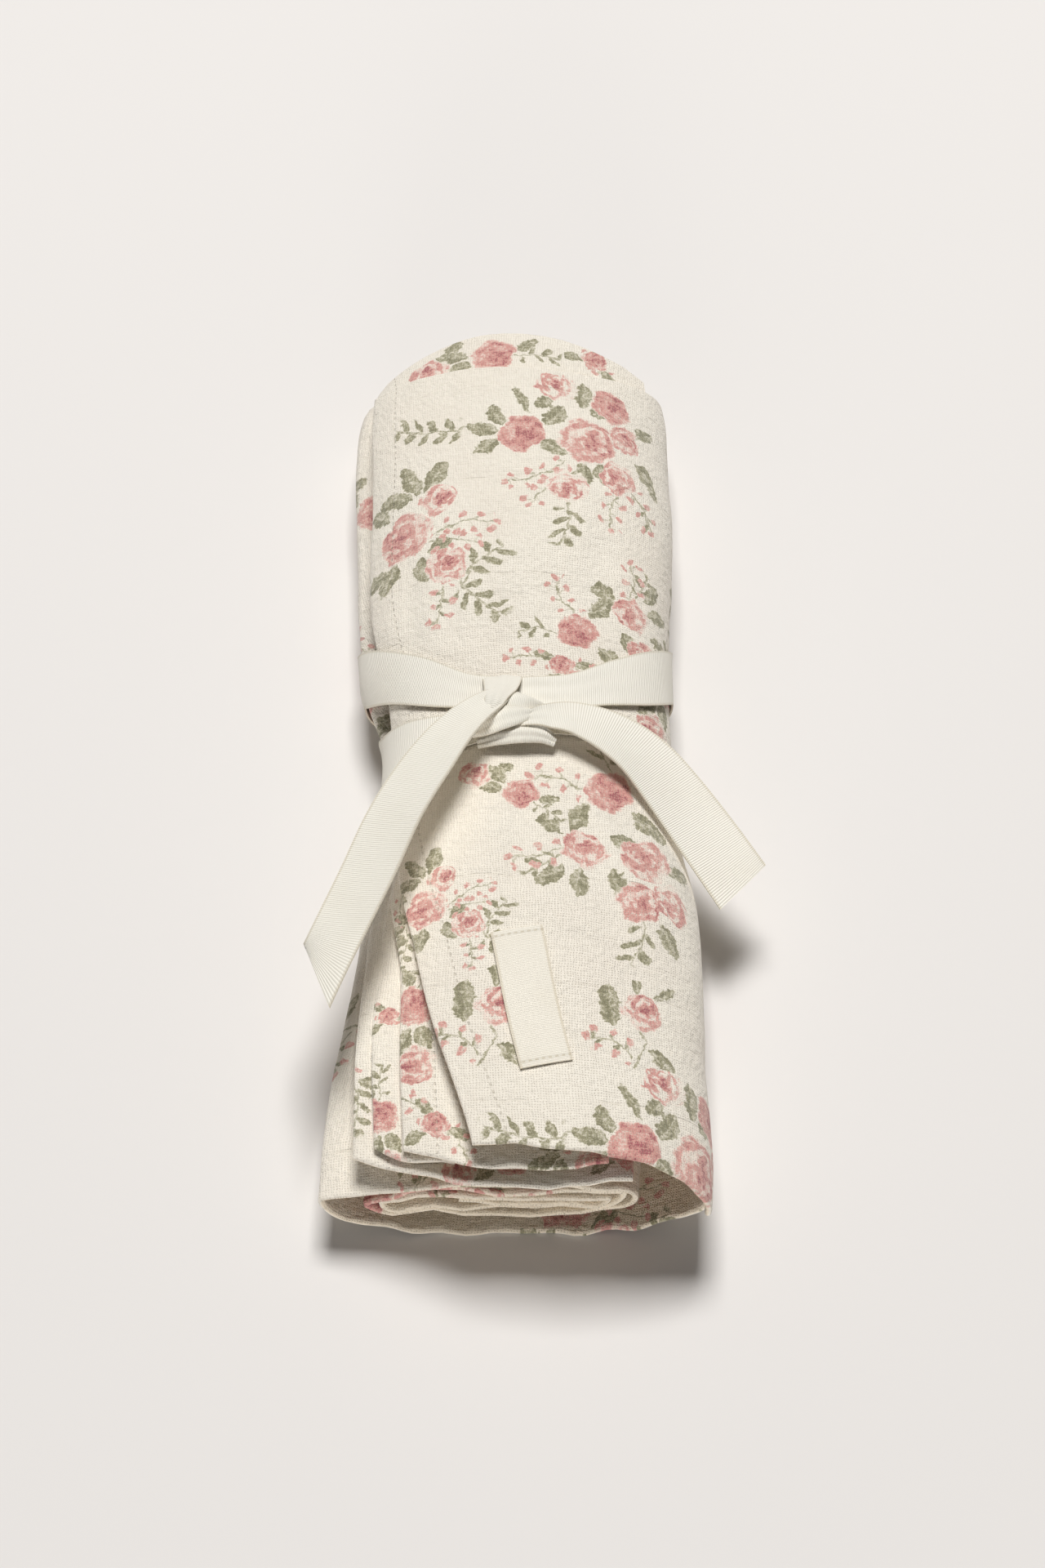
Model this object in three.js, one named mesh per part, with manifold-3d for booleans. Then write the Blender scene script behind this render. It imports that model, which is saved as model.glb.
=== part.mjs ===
// Rolled swaddle blanket: a square of double-gauze muslin, folded to a strip, wound into a flattened roll
// and tied round its waist with a grosgrain ribbon.
// Millimetres, +Z up, the roll's axis along Y, the open end at -Y.
import * as THREE from "three";
import { mergeVertices } from "three/addons/utils/BufferGeometryUtils.js";
import Module from "manifold-3d";

// ---- Driving dimensions ----
const PLY = 1.9; // a ply that shows, with its loft
const HEM = 2.3; // the same ply where it is turned over and sewn
const HEM_WIDTH = 10;
// The folded strip inside the roll, fanned at the open end, and the points of its path over which it grows.
const BAND = { near: 2.1, closed: 3.2, startsAfter: 4, growsOver: 8 };
const FLAT_SPOT = 1.04; // how far the underside's curve is cut by the surface that it rests on
const CROWDING = 1.25; // how much closer the steps of a curve are beside a fold
const ROUND = 2.2; // exponent of the roll's section: 2 is an ellipse, more is boxier

const RIBBON = { width: 20, thick: 1, gap: 0.8 };
const LABEL = { width: 15, length: 45, thick: 1, gap: 0.4 };

// The roll's outline, section by section along Y: its reach to the left and right, its top and its base.
const OUTLINE = [
  { y: -158, left: -55.6, right: 54.8, top: 51.2, base: 0 },
  { y: -150, left: -55.6, right: 55.4, top: 51.6, base: 0 },
  { y: -134, left: -54.7, right: 55.9, top: 52, base: 0 },
  { y: -107, left: -51.2, right: 55.5, top: 52.2, base: 0 },
  { y: -79, left: -47.8, right: 55, top: 51.6, base: 0 },
  { y: -54, left: -44.9, right: 53.6, top: 50.6, base: 0.2 },
  { y: -36, left: -42.2, right: 51.4, top: 49.4, base: 1 },
  { y: -21, left: -40.2, right: 49.4, top: 48.2, base: 2.1 },
  { y: -6, left: -39.4, right: 48.2, top: 47.4, base: 2.3 },
  { y: 8, left: -40.2, right: 47.8, top: 47.2, base: 2.3 },
  { y: 19, left: -43.8, right: 47.6, top: 47.6, base: 2.3 },
  { y: 29, left: -46.6, right: 47.8, top: 48.2, base: 2.3 },
  { y: 40, left: -47.4, right: 48.2, top: 49, base: 2.2 },
  { y: 52, left: -48.6, right: 49.2, top: 50, base: 1 },
  { y: 76, left: -50.6, right: 50, top: 51.4, base: 0 },
  { y: 108, left: -52.2, right: 50.4, top: 52, base: 0 },
  { y: 128, left: -52.2, right: 50.3, top: 51.6, base: 0 },
  { y: 141, left: -51.4, right: 49.8, top: 50.8, base: 0.6 },
  { y: 160, left: -47, right: 46.4, top: 48.2, base: 4 },
];
const TIP_HEIGHT = { left: 0.37, right: 0.42 }; // the outer folds' height, as a share of the roll's
const FOLD_HEIGHT = 0.45; // an inner fold's height between the two passes that it joins

// The cloth's unevenness: slow waves, which all that lies on it follows. Each swing has its way over the roll
// and its start.
const WAVE = {
  length: 80,
  fullAbove: 30,
  side: { size: 0.5, swings: [{ across: 0, forward: 1, start: 0.8 }] },
  rise: {
    size: 0.5,
    swings: [
      { across: 1.3, forward: 0.7, start: 0 },
      { across: -0.6, forward: 1, start: 2 },
    ],
  },
};

// How open the plies stand: 1 at the open end, 0 from the waist to the far end.
const OPEN = { from: -30, to: -150, curve: 1.4 };

// The wound strip's passes from one fold to the next, from the outside in. crown is the pass's height at
// mid-width, as a share of the roll's height; right and left are how far its folds lie inside the roll's
// outline, and shoulder is how far its left side does above the fold. Each has its value at the open end, and
// then in the closed roll.
const PASSES = [
  { steps: 16, crown: [0, 0], right: [0, 0], left: [0, 0], shoulder: [0, 0] },
  { steps: 14, crown: [0.515, 0.775], right: [21, 6], left: [0, 0], shoulder: [5, 10.5] },
  { steps: 10, crown: [0.2, 0.16], right: [21, 6], left: [14.5, 6.5], shoulder: [14.5, 6.5] },
  { steps: 8, crown: [0.45, 0.665], right: [25, 11.5], left: [14.5, 6.5], shoulder: [18, 16.5] },
  { steps: 8, crown: [0.262, 0.29], right: [25, 11.5], left: [19, 12.5], shoulder: [19, 12.5] },
  { steps: 6, crown: [0.386, 0.555], right: [29, 17], left: [19, 12.5], shoulder: [22, 22.5] },
  { steps: 6, crown: [0.324, 0.42], right: [29, 17], left: [24, 18], shoulder: [24, 18] },
];

const SHOULDER_RUN = 0.4; // how much of a quarter the shoulder above a left fold takes

// The points across the top ply, from its free edge to the middle and from there to the right fold.
const TOP_STEPS = { left: 5, right: 8 };
// Where the strip's edges end. Near: the top ply, how far it slants forwards to the right, and the outer and
// inner passes. Far: how far the outer ply runs past the last station, and the inner passes at mid-width and
// less at their folds.
const NEAR_END = { top: -149, slant: 6, slantOver: 0.6, outer: -150, inner: -149.5 };
const FAR_END = { outer: 7, inner: 16, lessAtFolds: 8 };
const RAGGED = { near: -96, far: 90 }; // y past which the rows follow those ends

// The strip's loose ends over the last pass, topmost first: the x of each free edge at sections along Y.
const TOP_EDGE = [
  { y: -158, x: -11 },
  { y: -147, x: -12.2 },
  { y: -128, x: -16.9 },
  { y: -107, x: -22.9 },
  { y: -80, x: -29.2 },
  { y: -54, x: -34 },
  { y: -10, x: -36.4 },
  { y: 14, x: -38.4 },
  { y: 34, x: -42 },
  { y: 57, x: -44.4 },
  { y: 91, x: -45.6 },
  { y: 158, x: -45.4 },
];
const TONGUES = [
  {
    crown: [0.828, 0.948],
    edge: [
      { y: -143, x: -31.3 },
      { y: -89, x: -32.5 },
      { y: -58, x: -36.3 },
      { y: -30, x: -31 },
      { y: 10, x: -29 },
      { y: 60, x: -41 },
      { y: 110, x: -43.6 },
      { y: 150, x: -46 },
    ],
    inset: [11, 3.4],
    flare: 1.2,
    joins: { to: "top", at: [0.46, 0.66] },
    near: [-144.9, -152],
    far: { left: 0.06, reach: 19.5 },
  },
  {
    crown: [0.748, 0.895],
    edge: [
      { y: -141, x: -39.4 },
      { y: -87, x: -39.9 },
      { y: -60, x: -37.6 },
      { y: -30, x: -28.5 },
      { y: 10, x: -27 },
      { y: 60, x: -36 },
      { y: 158, x: -38 },
    ],
    inset: [8.5, 6],
    flare: 3,
    joins: { to: "below", at: [-0.3, -0.3] },
    near: [-142, -147],
    far: { left: 0.18, reach: 6 },
  },
  {
    crown: [0.672, 0.842],
    edge: [
      { y: -141, x: -45.4 },
      { y: -113, x: -44.6 },
      { y: -86, x: -43.4 },
      { y: -60, x: -41.4 },
      { y: -32, x: -29 },
      { y: 10, x: -25 },
      { y: 60, x: -34 },
      { y: 158, x: -36 },
    ],
    inset: [4.5, 8.4],
    flare: 5.6,
    joins: { to: "top", at: [0.58, 0.78] },
    near: [-143, -153.8],
    far: { left: 0.18, reach: 14 },
  },
];

// What the loose plies share: their points across, how many of these their flare and their near end's slant
// take, how far they droop towards the fold (open end, then closed roll), and their far end's curve.
const TONGUE = {
  steps: 7,
  flareSteps: 3,
  slantSteps: 4,
  droop: [0.55, 0],
  joinRise: 0.55,
  far: { right: 0.72, power: 0.7 },
};
const FLARE = { from: -36, over: 22 };

// Sections along Y at which the sheets are lofted.
const STATIONS = [-150, -139, -123, -102, -80, -61, -43, -27, -12, 2, 14, 26, 40, 58, 83, 108, 127, 140];

const KNOT = { x: -4, y: -1, z: 53.4, radius: [9, 8.4, 5.2] };
// The ribbon's two turns: the y of its middle and its width, drawn together towards the knot, by the way
// round the roll: 0 and 4 are on top, 1 is the right fold, 2 the underside and 3 the left fold.
const TURNS = [
  [
    { way: 0, y: 7.6, width: 12 },
    { way: 0.15, y: 9, width: 13 },
    { way: 0.32, y: 15.2, width: 17 },
    { way: 0.52, y: 21.5, width: 20 },
    { way: 0.86, y: 30.8, width: 20 },
    { way: 1, y: 33.6, width: 20 },
    { way: 2, y: 30.5, width: 20 },
    { way: 3, y: 34.4, width: 20 },
    { way: 3.1, y: 32.2, width: 20 },
    { way: 3.42, y: 24.6, width: 20 },
    { way: 3.68, y: 16.5, width: 18.8 },
    { way: 3.85, y: 10.2, width: 13 },
    { way: 4, y: 7.6, width: 12 },
  ],
  [
    { way: 0, y: -3, width: 10 },
    { way: 0.22, y: -2.4, width: 11 },
    { way: 0.5, y: -6.4, width: 16 },
    { way: 0.8, y: -9.6, width: 20 },
    { way: 1, y: -10, width: 20 },
    { way: 2, y: -5, width: 20 },
    { way: 3, y: 1.2, width: 20 },
    { way: 3.22, y: -2, width: 20 },
    { way: 3.53, y: -4.6, width: 19.6 },
    { way: 3.68, y: -5.6, width: 18 },
    { way: 3.85, y: -4.2, width: 13 },
    { way: 4, y: -3, width: 10 },
  ],
];
const TURN_STEPS = { perQuarter: 8, across: [-0.5, -0.25, 0, 0.25, 0.5] };
// The knot's crossing strap and the two tails: the ribbon's middle along its run, its width and its roll.
const STRAP = [
  { at: [-3.4, 12.5, 50.4], width: 12, roll: 0 },
  { at: [-3.8, 8.6, 56.2], width: 11, roll: 0 },
  { at: [-5, 1, 59.6], width: 7, roll: 4 },
  { at: [-7, -6.4, 59], width: 4, roll: 4 },
  { at: [-7.6, -10.5, 55.4], width: 4, roll: 0 },
];
const LEFT_TAIL = [
  { at: [-6.5, -2.5, 56.2], width: 9, roll: 6 },
  { at: [-15.2, -9.5, 58.2], width: 13, roll: 18 },
  { at: [-25.5, -26, 57.2], width: 20, roll: 27 },
  { at: [-34.6, -43, 56.2], width: 20, roll: 27 },
  { at: [-41.6, -59.5, 55.2], width: 20, roll: 27 },
  { at: [-48.4, -76.5, 54.2], width: 20, roll: 27 },
  { at: [-55.4, -96.6, 53.2], width: 20, roll: 27 },
];
const RIGHT_TAIL = [
  { at: [-1, -5.6, 55], width: 6, roll: 0 },
  { at: [8.5, -7, 56], width: 10, roll: -8 },
  { at: [18.4, -6.4, 54.8], width: 15, roll: -8 },
  { at: [28.4, -9.8, 51.8], width: 19, roll: -10 },
  { at: [37.6, -15.6, 48.2], width: 20, roll: -12 },
  { at: [46.2, -23.6, 43.2], width: 20, roll: -8 },
  { at: [56.6, -35.4, 36.4], width: 20, roll: 0 },
  { at: [67.8, -49.6, 28.8], width: 20, roll: 6 },
];
const TAIL_CUT = { left: -11, right: 2 }; // how far one edge of a tail's end runs past its middle
// The sewn label's middle on the top ply, and its turn from the roll's axis.
const LABEL_AT = { x: 4.8, y: -102.2, turn: 11.5 };

const COLOURS = { cloth: 0xf3eee0, ribbon: 0xf4f0e2, label: 0xf5f0e3 };

// ---- Curves ----
const clamp = (value, low, high) => Math.min(high, Math.max(low, value));
const smooth = (value) => clamp(value, 0, 1) ** 2 * (3 - 2 * clamp(value, 0, 1));
const mix = THREE.MathUtils.lerp;

// A column of a table as a smooth curve along another, which is y where none is named.
function along(table, column, at, key = "y") {
  const last = table.length - 1;
  const here = clamp(at, table[0][key], table[last][key]);
  const i = clamp(table.findIndex((row) => row[key] > here) - 1, 0, last - 1);
  const k = here >= table[last][key] ? last - 1 : i;
  const slope = (n) => {
    const a = table[Math.max(n - 1, 0)];
    const b = table[Math.min(n + 1, last)];
    return (b[column] - a[column]) / (b[key] - a[key]);
  };
  const span = table[k + 1][key] - table[k][key];
  const t = (here - table[k][key]) / span;
  const ease = t * t * (3 - 2 * t);
  const start = t * (1 - t) * (1 - t) * span * slope(k);
  const end = t * t * (t - 1) * span * slope(k + 1);
  return mix(table[k][column], table[k + 1][column], ease) + start + end;
}

// How open the plies stand at y, and a pair of values mixed by it.
const openness = (y) => smooth((y - OPEN.from) / (OPEN.to - OPEN.from)) ** OPEN.curve;
const opened = (pair, y) => mix(pair[1], pair[0], openness(y));

// The roll's section at y.
function section(y) {
  const columns = ["left", "right", "top", "base"];
  const [left, right, top, lift] = columns.map((column) => along(OUTLINE, column, y));
  const base = Math.max(0, lift);
  const tip = mix(base, top, TIP_HEIGHT.right);
  const tipLeft = mix(base, top, TIP_HEIGHT.left);
  return { left, right, top, base, tip, tipLeft };
}

// A quarter of the section, from its crown (turn 0) to a fold (turn 1), its steps closer beside the fold.
function quarter(crown, fold, turn, flat = 1) {
  const angle = ((1 - (1 - clamp(turn, 0, 1)) ** CROWDING) * Math.PI) / 2;
  const out = Math.sin(angle) ** (2 / ROUND);
  const up = Math.min(1, flat * Math.cos(angle) ** (2 / ROUND));
  return [mix(crown[0], fold[0], out), mix(fold[1], crown[1], up)];
}

// The turn of a quarter at which it reaches the share u of its width.
const turnAt = (u) => 1 - (1 - Math.asin(clamp(u, 0, 1) ** (ROUND / 2)) / (Math.PI / 2)) ** (1 / CROWDING);

// The height of a share of the roll between its lowest and highest ply.
const level = (s, share) => mix(s.base + PLY / 2, s.top - PLY / 2, share);

// A fold between two passes.
function fold(y, side, inset, crowns) {
  const s = section(y);
  const x = side < 0 ? s.left + PLY / 2 + inset : s.right - PLY / 2 - inset;
  return [x, mix(level(s, crowns[0]), level(s, crowns[1]), FOLD_HEIGHT)];
}

// The top ply's middle surface at the share u of its half-width, from -1 at the left to 1 at the right.
function topPly(y, u) {
  const s = section(y);
  const crown = [0, s.top - PLY / 2];
  const side = u < 0 ? s.left + PLY / 2 : s.right - PLY / 2;
  return quarter(crown, [side, u < 0 ? s.tipLeft : s.tip], turnAt(Math.abs(u)));
}

// ---- The wound strip ----
// One row for each point of the strip's path: a function of y that gives the point, and where its edges end.
function windingPath() {
  const path = [];
  const leftEdge = (y) => along(TOP_EDGE, "x", y) / (section(y).left + PLY / 2);
  for (let i = 0; i <= TOP_STEPS.left; i++) {
    const share = 1 - i / TOP_STEPS.left;
    path.push({ at: (y) => topPly(y, -leftEdge(y) * share), near: NEAR_END.top, far: 0 });
  }
  for (let i = 1; i <= TOP_STEPS.right; i++) {
    const turn = i / TOP_STEPS.right;
    const at = (y) => {
      const s = section(y);
      return quarter([0, s.top - PLY / 2], [s.right - PLY / 2, s.tip], turn);
    };
    const near = NEAR_END.top - NEAR_END.slant * Math.sin(turn * Math.PI * NEAR_END.slantOver);
    path.push({ at, near, far: FAR_END.outer * turn ** 2 });
  }
  const crownOf = (n, y) => (n < 0 ? 1 : opened(PASSES[n].crown, y));
  const foldOf = (n, side, y) => {
    // Fold n lies between pass n - 1 and pass n; even folds are on the right.
    if (n === 0) return [section(y).right - PLY / 2, section(y).tip];
    if (n === 1) return [section(y).left + PLY / 2, section(y).tipLeft];
    const inset = opened(PASSES[n][side < 0 ? "left" : "right"], y);
    return fold(y, side, inset, [crownOf(n - 1, y), crownOf(n, y)]);
  };
  PASSES.forEach((pass, n) => {
    const leftwards = n % 2 === 0;
    const half = pass.steps / 2;
    const last = n === PASSES.length - 1;
    const crown = (y) => [0, level(section(y), crownOf(n, y))];
    const rise = n % 2 === 1; // a pass that goes up over the one before it
    for (let i = 1; i <= (last ? pass.steps - 2 : pass.steps); i++) {
      const at = (y) => {
        const turn = Math.abs(i - half) / half;
        const onStart = i < half;
        const side = onStart === leftwards ? 1 : -1;
        const index = onStart ? n : n + 1;
        const strays = index === PASSES.length; // past the last fold, the strip ends opposite it
        const end = strays ? foldOf(n, 1, y) : foldOf(index, side, y);
        if (strays) end[0] *= -1;
        if (side < 0 && rise) {
          const shoulder = opened(pass.shoulder, y) - opened(pass.left, y);
          end[0] += shoulder * smooth((1 - turn) / SHOULDER_RUN);
        }
        return quarter(crown(y), end, turn, n === 0 ? FLAT_SPOT : 1);
      };
      const spread = Math.abs(i - half) / half;
      const outer = n === 0;
      const far = outer ? FAR_END.outer : FAR_END.inner - FAR_END.lessAtFolds * spread ** 2;
      path.push({ at, near: outer ? NEAR_END.outer : NEAR_END.inner, far });
    }
  });
  return path;
}

// A loose ply under the top one, from its free edge to where it joins the top ply or the ply below it.
function tonguePath(tongue, below) {
  const { steps } = TONGUE;
  const path = [];
  for (let i = 0; i <= steps + 1; i++) {
    const at = (y) => {
      const s = section(y);
      const joinShare = opened(tongue.joins.at, y);
      const join = joinShare * (joinShare < 0 ? -s.left : s.right);
      const x = mix(along(tongue.edge, "x", y), join, i / steps);
      const here = tonguePoint(tongue, y, x, 1 - smooth(i / TONGUE.flareSteps));
      if (i <= steps - 1) return here;
      const target = tongue.joins.to === "top" ? topPly(y, x / s.right) : tonguePoint(below, y, x, 0);
      return i === steps ? [here[0], mix(here[1], target[1], TONGUE.joinRise)] : target;
    };
    const slant = Math.sin((Math.min(i / TONGUE.slantSteps, 1) * Math.PI) / 2);
    const bulge = Math.sin(Math.PI * mix(tongue.far.left, TONGUE.far.right, i / steps));
    const far = tongue.far.reach * bulge ** TONGUE.far.power;
    path.push({ at, near: mix(tongue.near[0], tongue.near[1], slant), far });
  }
  return path;
}

// The middle surface of a loose ply at x. edge is 1 at its free edge, which flares out towards the open end.
function tonguePoint(tongue, y, x, edge) {
  const s = section(y);
  const flare = tongue.flare * edge * smooth((FLARE.from - y) / FLARE.over);
  const inset = opened(tongue.inset, y) - flare;
  const side = x < 0 ? s.left + inset : s.right - inset;
  const crown = [0, level(s, opened(tongue.crown, y))];
  const fold = [side, mix(x < 0 ? s.tipLeft : s.tip, crown[1], opened(TONGUE.droop, y))];
  return quarter(crown, fold, turnAt(Math.abs(x / side)));
}

// ---- Meshes ----
// A closed sheet through rows of points, each row given as its upper and lower line.
function closedSheet(rows, closed = false) {
  const positions = [];
  const index = [];
  const ring = rows[0].upper.length * 2;
  for (const { upper, lower } of rows) {
    for (const p of [...upper, ...[...lower].reverse()]) positions.push(...p);
  }
  const quad = (a, b, c, d) => index.push(a, b, c, a, c, d);
  const count = closed ? rows.length : rows.length - 1;
  for (let j = 0; j < count; j++) {
    const from = j * ring;
    const to = ((j + 1) % rows.length) * ring;
    for (let i = 0; i < ring; i++) {
      const next = (i + 1) % ring;
      quad(from + i, to + i, to + next, from + next);
    }
  }
  if (!closed) {
    const end = (rows.length - 1) * ring;
    for (let i = 0; i < ring / 2 - 1; i++) {
      const back = ring - 1 - i;
      quad(i, i + 1, back - 1, back);
      quad(end + i, end + back, end + back - 1, end + i + 1);
    }
  }
  const geometry = new THREE.BufferGeometry();
  geometry.setAttribute("position", new THREE.Float32BufferAttribute(positions, 3));
  geometry.setIndex(index);
  return geometry;
}

// A sheet lofted along Y from its path, thickened to both sides.
function loftedSheet(path, thickness) {
  const firstY = STATIONS[0];
  const lastY = STATIONS[STATIONS.length - 1];
  const rows = STATIONS.map((station) => {
    const ys = path.map(({ near, far }) => {
      const nearPull = (near - firstY) * smooth((RAGGED.near - station) / (RAGGED.near - firstY));
      return station + nearPull + far * smooth((station - RAGGED.far) / (lastY - RAGGED.far));
    });
    const middle = path.map(({ at }, i) => at(ys[i]));
    const upper = [];
    const lower = [];
    let reach = 0;
    middle.forEach(([x, z], i) => {
      // The sheet's tangent is taken at one y, so that a ragged end doesn't tilt it.
      const before = path[Math.max(i - 1, 0)].at(ys[i]);
      const after = path[Math.min(i + 1, path.length - 1)].at(ys[i]);
      const length = Math.hypot(after[0] - before[0], after[1] - before[1]);
      reach += i ? Math.hypot(x - middle[i - 1][0], z - middle[i - 1][1]) : 0;
      const half = thickness(i, ys[i], reach) / 2 / length;
      const [nx, nz] = [-(after[1] - before[1]) * half, (after[0] - before[0]) * half];
      upper.push([x + nx, ys[i], z + nz]);
      lower.push([x - nx, ys[i], z - nz]);
    });
    return { upper, lower };
  });
  return closedSheet(rows);
}

// ---- Joining ----
const wasm = await Module();
wasm.setup();

function solid(geometry) {
  const bare = geometry.clone();
  bare.deleteAttribute("normal");
  bare.deleteAttribute("uv");
  const merged = mergeVertices(bare, 1e-4);
  const made = new wasm.Manifold(
    new wasm.Mesh({
      numProp: 3,
      vertProperties: new Float32Array(merged.attributes.position.array),
      triVerts: new Uint32Array(merged.index.array),
    }),
  );
  if (made.volume() > 0) return made;
  const turned = merged.index.array.slice();
  for (let i = 0; i < turned.length; i += 3) [turned[i + 1], turned[i + 2]] = [turned[i + 2], turned[i + 1]];
  merged.setIndex([...turned]);
  return solid(merged);
}

// Moves a point by the cloth's unevenness, which dies out towards the flat spot.
function settle(position) {
  const turns = (2 * Math.PI) / WAVE.length;
  for (let i = 0; i < position.length; i += 3) {
    const [x, y, z] = position.slice(i, i + 3);
    const moved = ({ size, swings }) => {
      const wave = ({ across, forward, start }) => Math.sin((x * across + y * forward) * turns + start);
      return size * smooth(z / WAVE.fullAbove) * swings.reduce((sum, swing) => sum + wave(swing), 0);
    };
    position[i] += moved(WAVE.side);
    position[i + 2] += moved(WAVE.rise);
  }
  return position;
}

function joined(geometries) {
  const mesh = geometries.map(solid).reduce((whole, piece) => whole.add(piece)).getMesh();
  const geometry = new THREE.BufferGeometry();
  geometry.setAttribute("position", new THREE.Float32BufferAttribute(settle(mesh.vertProperties), 3));
  geometry.setIndex([...mesh.triVerts]);
  geometry.computeVertexNormals();
  return geometry;
}

// ---- Cloth ----
function clothGeometry() {
  const winding = windingPath();
  const hemmed = (i, y, reach) => mix(HEM, PLY, smooth(reach - HEM_WIDTH));
  const outerPoints = 1 + TOP_STEPS.left + TOP_STEPS.right + PASSES[0].steps;
  const strip = loftedSheet(winding, (i, y, reach) => {
    const inside = smooth((i - outerPoints - BAND.startsAfter) / BAND.growsOver);
    return inside > 0 ? mix(PLY, opened([BAND.near, BAND.closed], y), inside) : hemmed(i, y, reach);
  });
  const tongues = TONGUES.map((tongue, n) => loftedSheet(tonguePath(tongue, TONGUES[n + 1]), hemmed));
  return joined([strip, ...tongues]);
}

// ---- Ribbon ----
// A point round the roll's outline, lifted off the cloth: turn 0 is the top, 1 the right, 2 the underside and
// 3 the left.
function roundRoll(turn, y, lift) {
  const s = section(y);
  const right = turn <= 2;
  const upper = turn <= 1 || turn > 3;
  const crown = [0, upper ? s.top + lift : s.base - lift];
  const fold = right ? [s.right + lift, s.tip] : [s.left - lift, s.tipLeft];
  const share = turn <= 1 ? turn : turn <= 2 ? 2 - turn : turn <= 3 ? turn - 2 : 4 - turn;
  const [x, z] = quarter(crown, fold, share, upper ? 1 : FLAT_SPOT);
  return [x, y, z];
}

function turnGeometry(turn) {
  const rows = [];
  for (let i = 0; i < TURN_STEPS.perQuarter * 4; i++) {
    const way = i / TURN_STEPS.perQuarter;
    const middle = along(turn, "y", way, "way");
    const width = along(turn, "width", way, "way");
    const line = (lift) => TURN_STEPS.across.map((share) => roundRoll(way, middle + share * width, lift));
    rows.push({ upper: line(RIBBON.gap + RIBBON.thick), lower: line(RIBBON.gap) });
  }
  return closedSheet(rows, true);
}

// A run of ribbon along a hand-laid route. skew runs one edge of its last end past the other.
function runGeometry(route, skew = 0) {
  const centres = route.map(({ at }) => new THREE.Vector3(...at));
  const rows = route.map(({ width, roll }, i) => {
    const ahead = centres[Math.min(i + 1, centres.length - 1)];
    const behind = centres[Math.max(i - 1, 0)];
    const tangent = ahead.clone().sub(behind).normalize();
    const across = tangent.clone().cross(new THREE.Vector3(0, 0, 1)).normalize();
    across.applyAxisAngle(tangent, THREE.MathUtils.degToRad(roll));
    const normal = across.clone().cross(tangent).normalize();
    const cut = i === route.length - 1 ? skew : 0;
    const line = (side) =>
      [-0.5, 0, 0.5].map((share) =>
        centres[i]
          .clone()
          .addScaledVector(across, share * width)
          .addScaledVector(tangent, 2 * share * cut)
          .addScaledVector(normal, (side * RIBBON.thick) / 2)
          .toArray(),
      );
    return { upper: line(1), lower: line(-1) };
  });
  return closedSheet(rows);
}

function knotGeometry() {
  const geometry = new THREE.SphereGeometry(1, 14, 9);
  geometry.scale(...KNOT.radius);
  geometry.translate(KNOT.x, KNOT.y, KNOT.z);
  return geometry;
}

function ribbonGeometry() {
  return joined([
    ...TURNS.map(turnGeometry),
    knotGeometry(),
    runGeometry(STRAP),
    runGeometry(LEFT_TAIL, TAIL_CUT.left),
    runGeometry(RIGHT_TAIL, TAIL_CUT.right),
  ]);
}

// ---- Label ----
function labelGeometry() {
  const turn = THREE.MathUtils.degToRad(LABEL_AT.turn);
  const steps = { across: 3, along: 7 };
  const rows = [];
  for (let j = 0; j <= steps.along; j++) {
    const v = (j / steps.along - 0.5) * LABEL.length;
    const line = (lift) => {
      const points = [];
      for (let i = 0; i <= steps.across; i++) {
        const u = (i / steps.across - 0.5) * LABEL.width;
        const x = LABEL_AT.x + u * Math.cos(turn) - v * Math.sin(turn);
        const y = LABEL_AT.y + u * Math.sin(turn) + v * Math.cos(turn);
        const s = section(y);
        const fold = x < 0 ? [s.left, s.tipLeft] : [s.right, s.tip];
        const [, z] = quarter([0, s.top + lift], fold, turnAt(Math.abs(x / fold[0])));
        points.push([x, y, z]);
      }
      return points;
    };
    rows.push({ upper: line(LABEL.gap + LABEL.thick), lower: line(LABEL.gap) });
  }
  return joined([closedSheet(rows)]);
}

// ---- The blanket ----
function piece(name, geometry, color, roughness) {
  const mesh = new THREE.Mesh(geometry, new THREE.MeshStandardMaterial({ color, roughness, metalness: 0 }));
  mesh.name = name;
  return mesh;
}

const blanket = new THREE.Group();
blanket.add(
  piece("swaddle_cloth", clothGeometry(), COLOURS.cloth, 0.95),
  piece("ribbon_tie", ribbonGeometry(), COLOURS.ribbon, 0.7),
  piece("sewn_label", labelGeometry(), COLOURS.label, 0.75),
);

// The origin is the middle of the underside.
const box = new THREE.Box3().setFromObject(blanket);
const middle = box.getCenter(new THREE.Vector3());
blanket.position.set(-middle.x, -middle.y, -box.min.z);

export default blanket;
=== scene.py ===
"""A rolled swaddle blanket: printed double-gauze muslin wound into a flattened roll, tied with grosgrain.

Sizes are millimetres about the roll's own axis (x across, y along, z up from the floor) until a mesh is made,
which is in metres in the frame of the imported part. The open end is at -y.
"""

import logging
import math
from dataclasses import dataclass, field, replace
from enum import Enum
from typing import Callable, ClassVar, Sequence

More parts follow.
